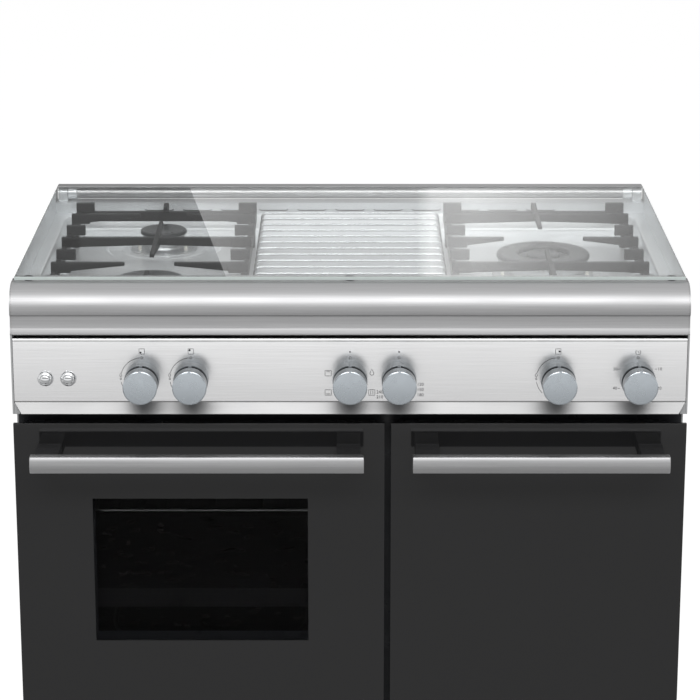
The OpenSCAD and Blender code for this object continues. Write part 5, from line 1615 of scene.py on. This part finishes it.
def lid_card():
    """Card behind the cooker that the lid reflects: dark at the left, brightest right of the middle."""
    middle_z = 1.7
    slope = 0.38
    edge_x = -0.419
    edge_z = 1.459

    def profile(tree, glow):
        place = tree.nodes.new("ShaderNodeTexCoord").outputs["Object"]
        split = tree.nodes.new("ShaderNodeSeparateXYZ")
        tree.links.new(place, split.inputs[0])
        x = split.outputs["X"]
        lift = calculated(tree, "MULTIPLY", split.outputs["Y"], slope)
        line_x = calculated(tree, "ADD", lift, edge_x + slope * (middle_z - edge_z))
        ramp = tree.nodes.new("ShaderNodeValToRGB")
        stops = (
            (-0.4, 0.55), (-0.2, 0.42), (0.17, 0.47), (0.21, 0.95), (0.32, 1.0), (0.5, 0.66), (0.72,
                0.42), (1.6, 0.3),
        )
        low = stops[0][0]
        span = stops[-1][0] - low
        points = ramp.color_ramp.elements
        points[0].position = 0
        points[1].position = 1
        for x_at, level in stops[1:-1]:
            points.new((x_at - low) / span)
        for point, (x_at, level) in zip(points, stops):
            point.color = (level, level, level, 1)
        along = calculated(tree, "DIVIDE", calculated(tree, "SUBTRACT", x, low), span)
        tree.links.new(along, ramp.inputs[0])
        beyond = calculated(tree, "GREATER_THAN", x, line_x)
        lit = calculated(tree, "MULTIPLY", beyond, ramp.outputs[0])
        shade = calculated(tree, "MULTIPLY", calculated(tree, "SUBTRACT", 1.0, beyond), 0.115)
        tree.links.new(calculated(tree, "ADD", lit, shade), glow.inputs["Strength"])

    emitter("lid_card", profile, (9.0, 1.6), (0, 3.0, middle_z), 90)


def floor_card():
    """Floor in front that the front faces reflect: darker near the cooker, brightest far away."""
    near = 0.5
    far = 1.2
    near_y = -2.35
    far_y = -3.0
    middle_y = -2.92

    def grey(tree, glow):
        place = tree.nodes.new("ShaderNodeTexCoord").outputs["Object"]
        split = tree.nodes.new("ShaderNodeSeparateXYZ")
        tree.links.new(place, split.inputs[0])
        ramp = tree.nodes.new("ShaderNodeMapRange")
        tree.links.new(split.outputs["Y"], ramp.inputs["Value"])
        ramp.inputs["From Min"].default_value = near_y - middle_y
        ramp.inputs["From Max"].default_value = far_y - middle_y
        ramp.inputs["To Min"].default_value = near
        ramp.inputs["To Max"].default_value = far
        tree.links.new(ramp.outputs["Result"], glow.inputs["Strength"])

    emitter("floor_card", grey, (8.0, 5.2), (0, middle_y, 0.004))


def room_card():
    """Dim room behind the camera, which gives the metal its darker tones."""

    def dim(tree, glow):
        glow.inputs["Strength"].default_value = 0.42

    emitter("room_card", dim, (9.0, 1.55), (0, -4.6, 1.52), 90)


def studio():
    floor()
    world()
    softbox("front_softbox", (0, -2.7, 2.9), (0, -0.27, 0.85), 3.6, 0.8, 7.0)
    softbox("top_softbox", (0, 0.1, 3.0), (0, 0.0, 0.8), 2.4, 1.6, 1.9).visible_glossy = False
    lid_card()
    floor_card()
    room_card()


def camera():
    """Camera of the photograph's view: level with the horizon line tilted down."""
    distance = 3.4175
    height = 1.78
    pitch = 16.116
    lens = bpy.data.cameras.new("camera")
    lens.lens = 138.09
    lens.sensor_width = 36.0
    lens.clip_end = 200
    eye = bpy.data.objects.new("camera", lens)
    bpy.context.scene.collection.objects.link(eye)
    eye.location = (0, FRONT * MM - distance, height)
    eye.rotation_euler = (math.radians(90 - pitch), 0, 0)
    bpy.context.scene.camera = eye


camera()
dress_packed_nodes()
front_rail()
control_panel()
panel_marks()
collars_and_bezels()
for number, box in enumerate(KNOBS, 1):
    knob(number, box)
for name, box in zip(("button_lamp", "button_spark"), BUTTONS):
    button(name, box)
oven_door()
store_door()
drawer_front()
handle("oven_handle_bar", "oven_door", "oven_handle")
handle("store_handle_bar", "store_door", "store_handle")
hob_tray()
grate("grate_left", GRATE_LEFT, False)
grate("grate_right", GRATE_RIGHT, True)
grate_feet()
wire_rack()
burner_heads()
burner_caps()
burner_probes()
lid()
lid_brackets()
rear_trim()
side_panels()
fasteners()
back_ribs()
for name in ("foot_front_left", "foot_front_right", "foot_rear_left", "foot_rear_right"):
    foot(name)
oven_fan_cover()
studio()

bpy.context.scene.view_settings.view_transform = "Standard"
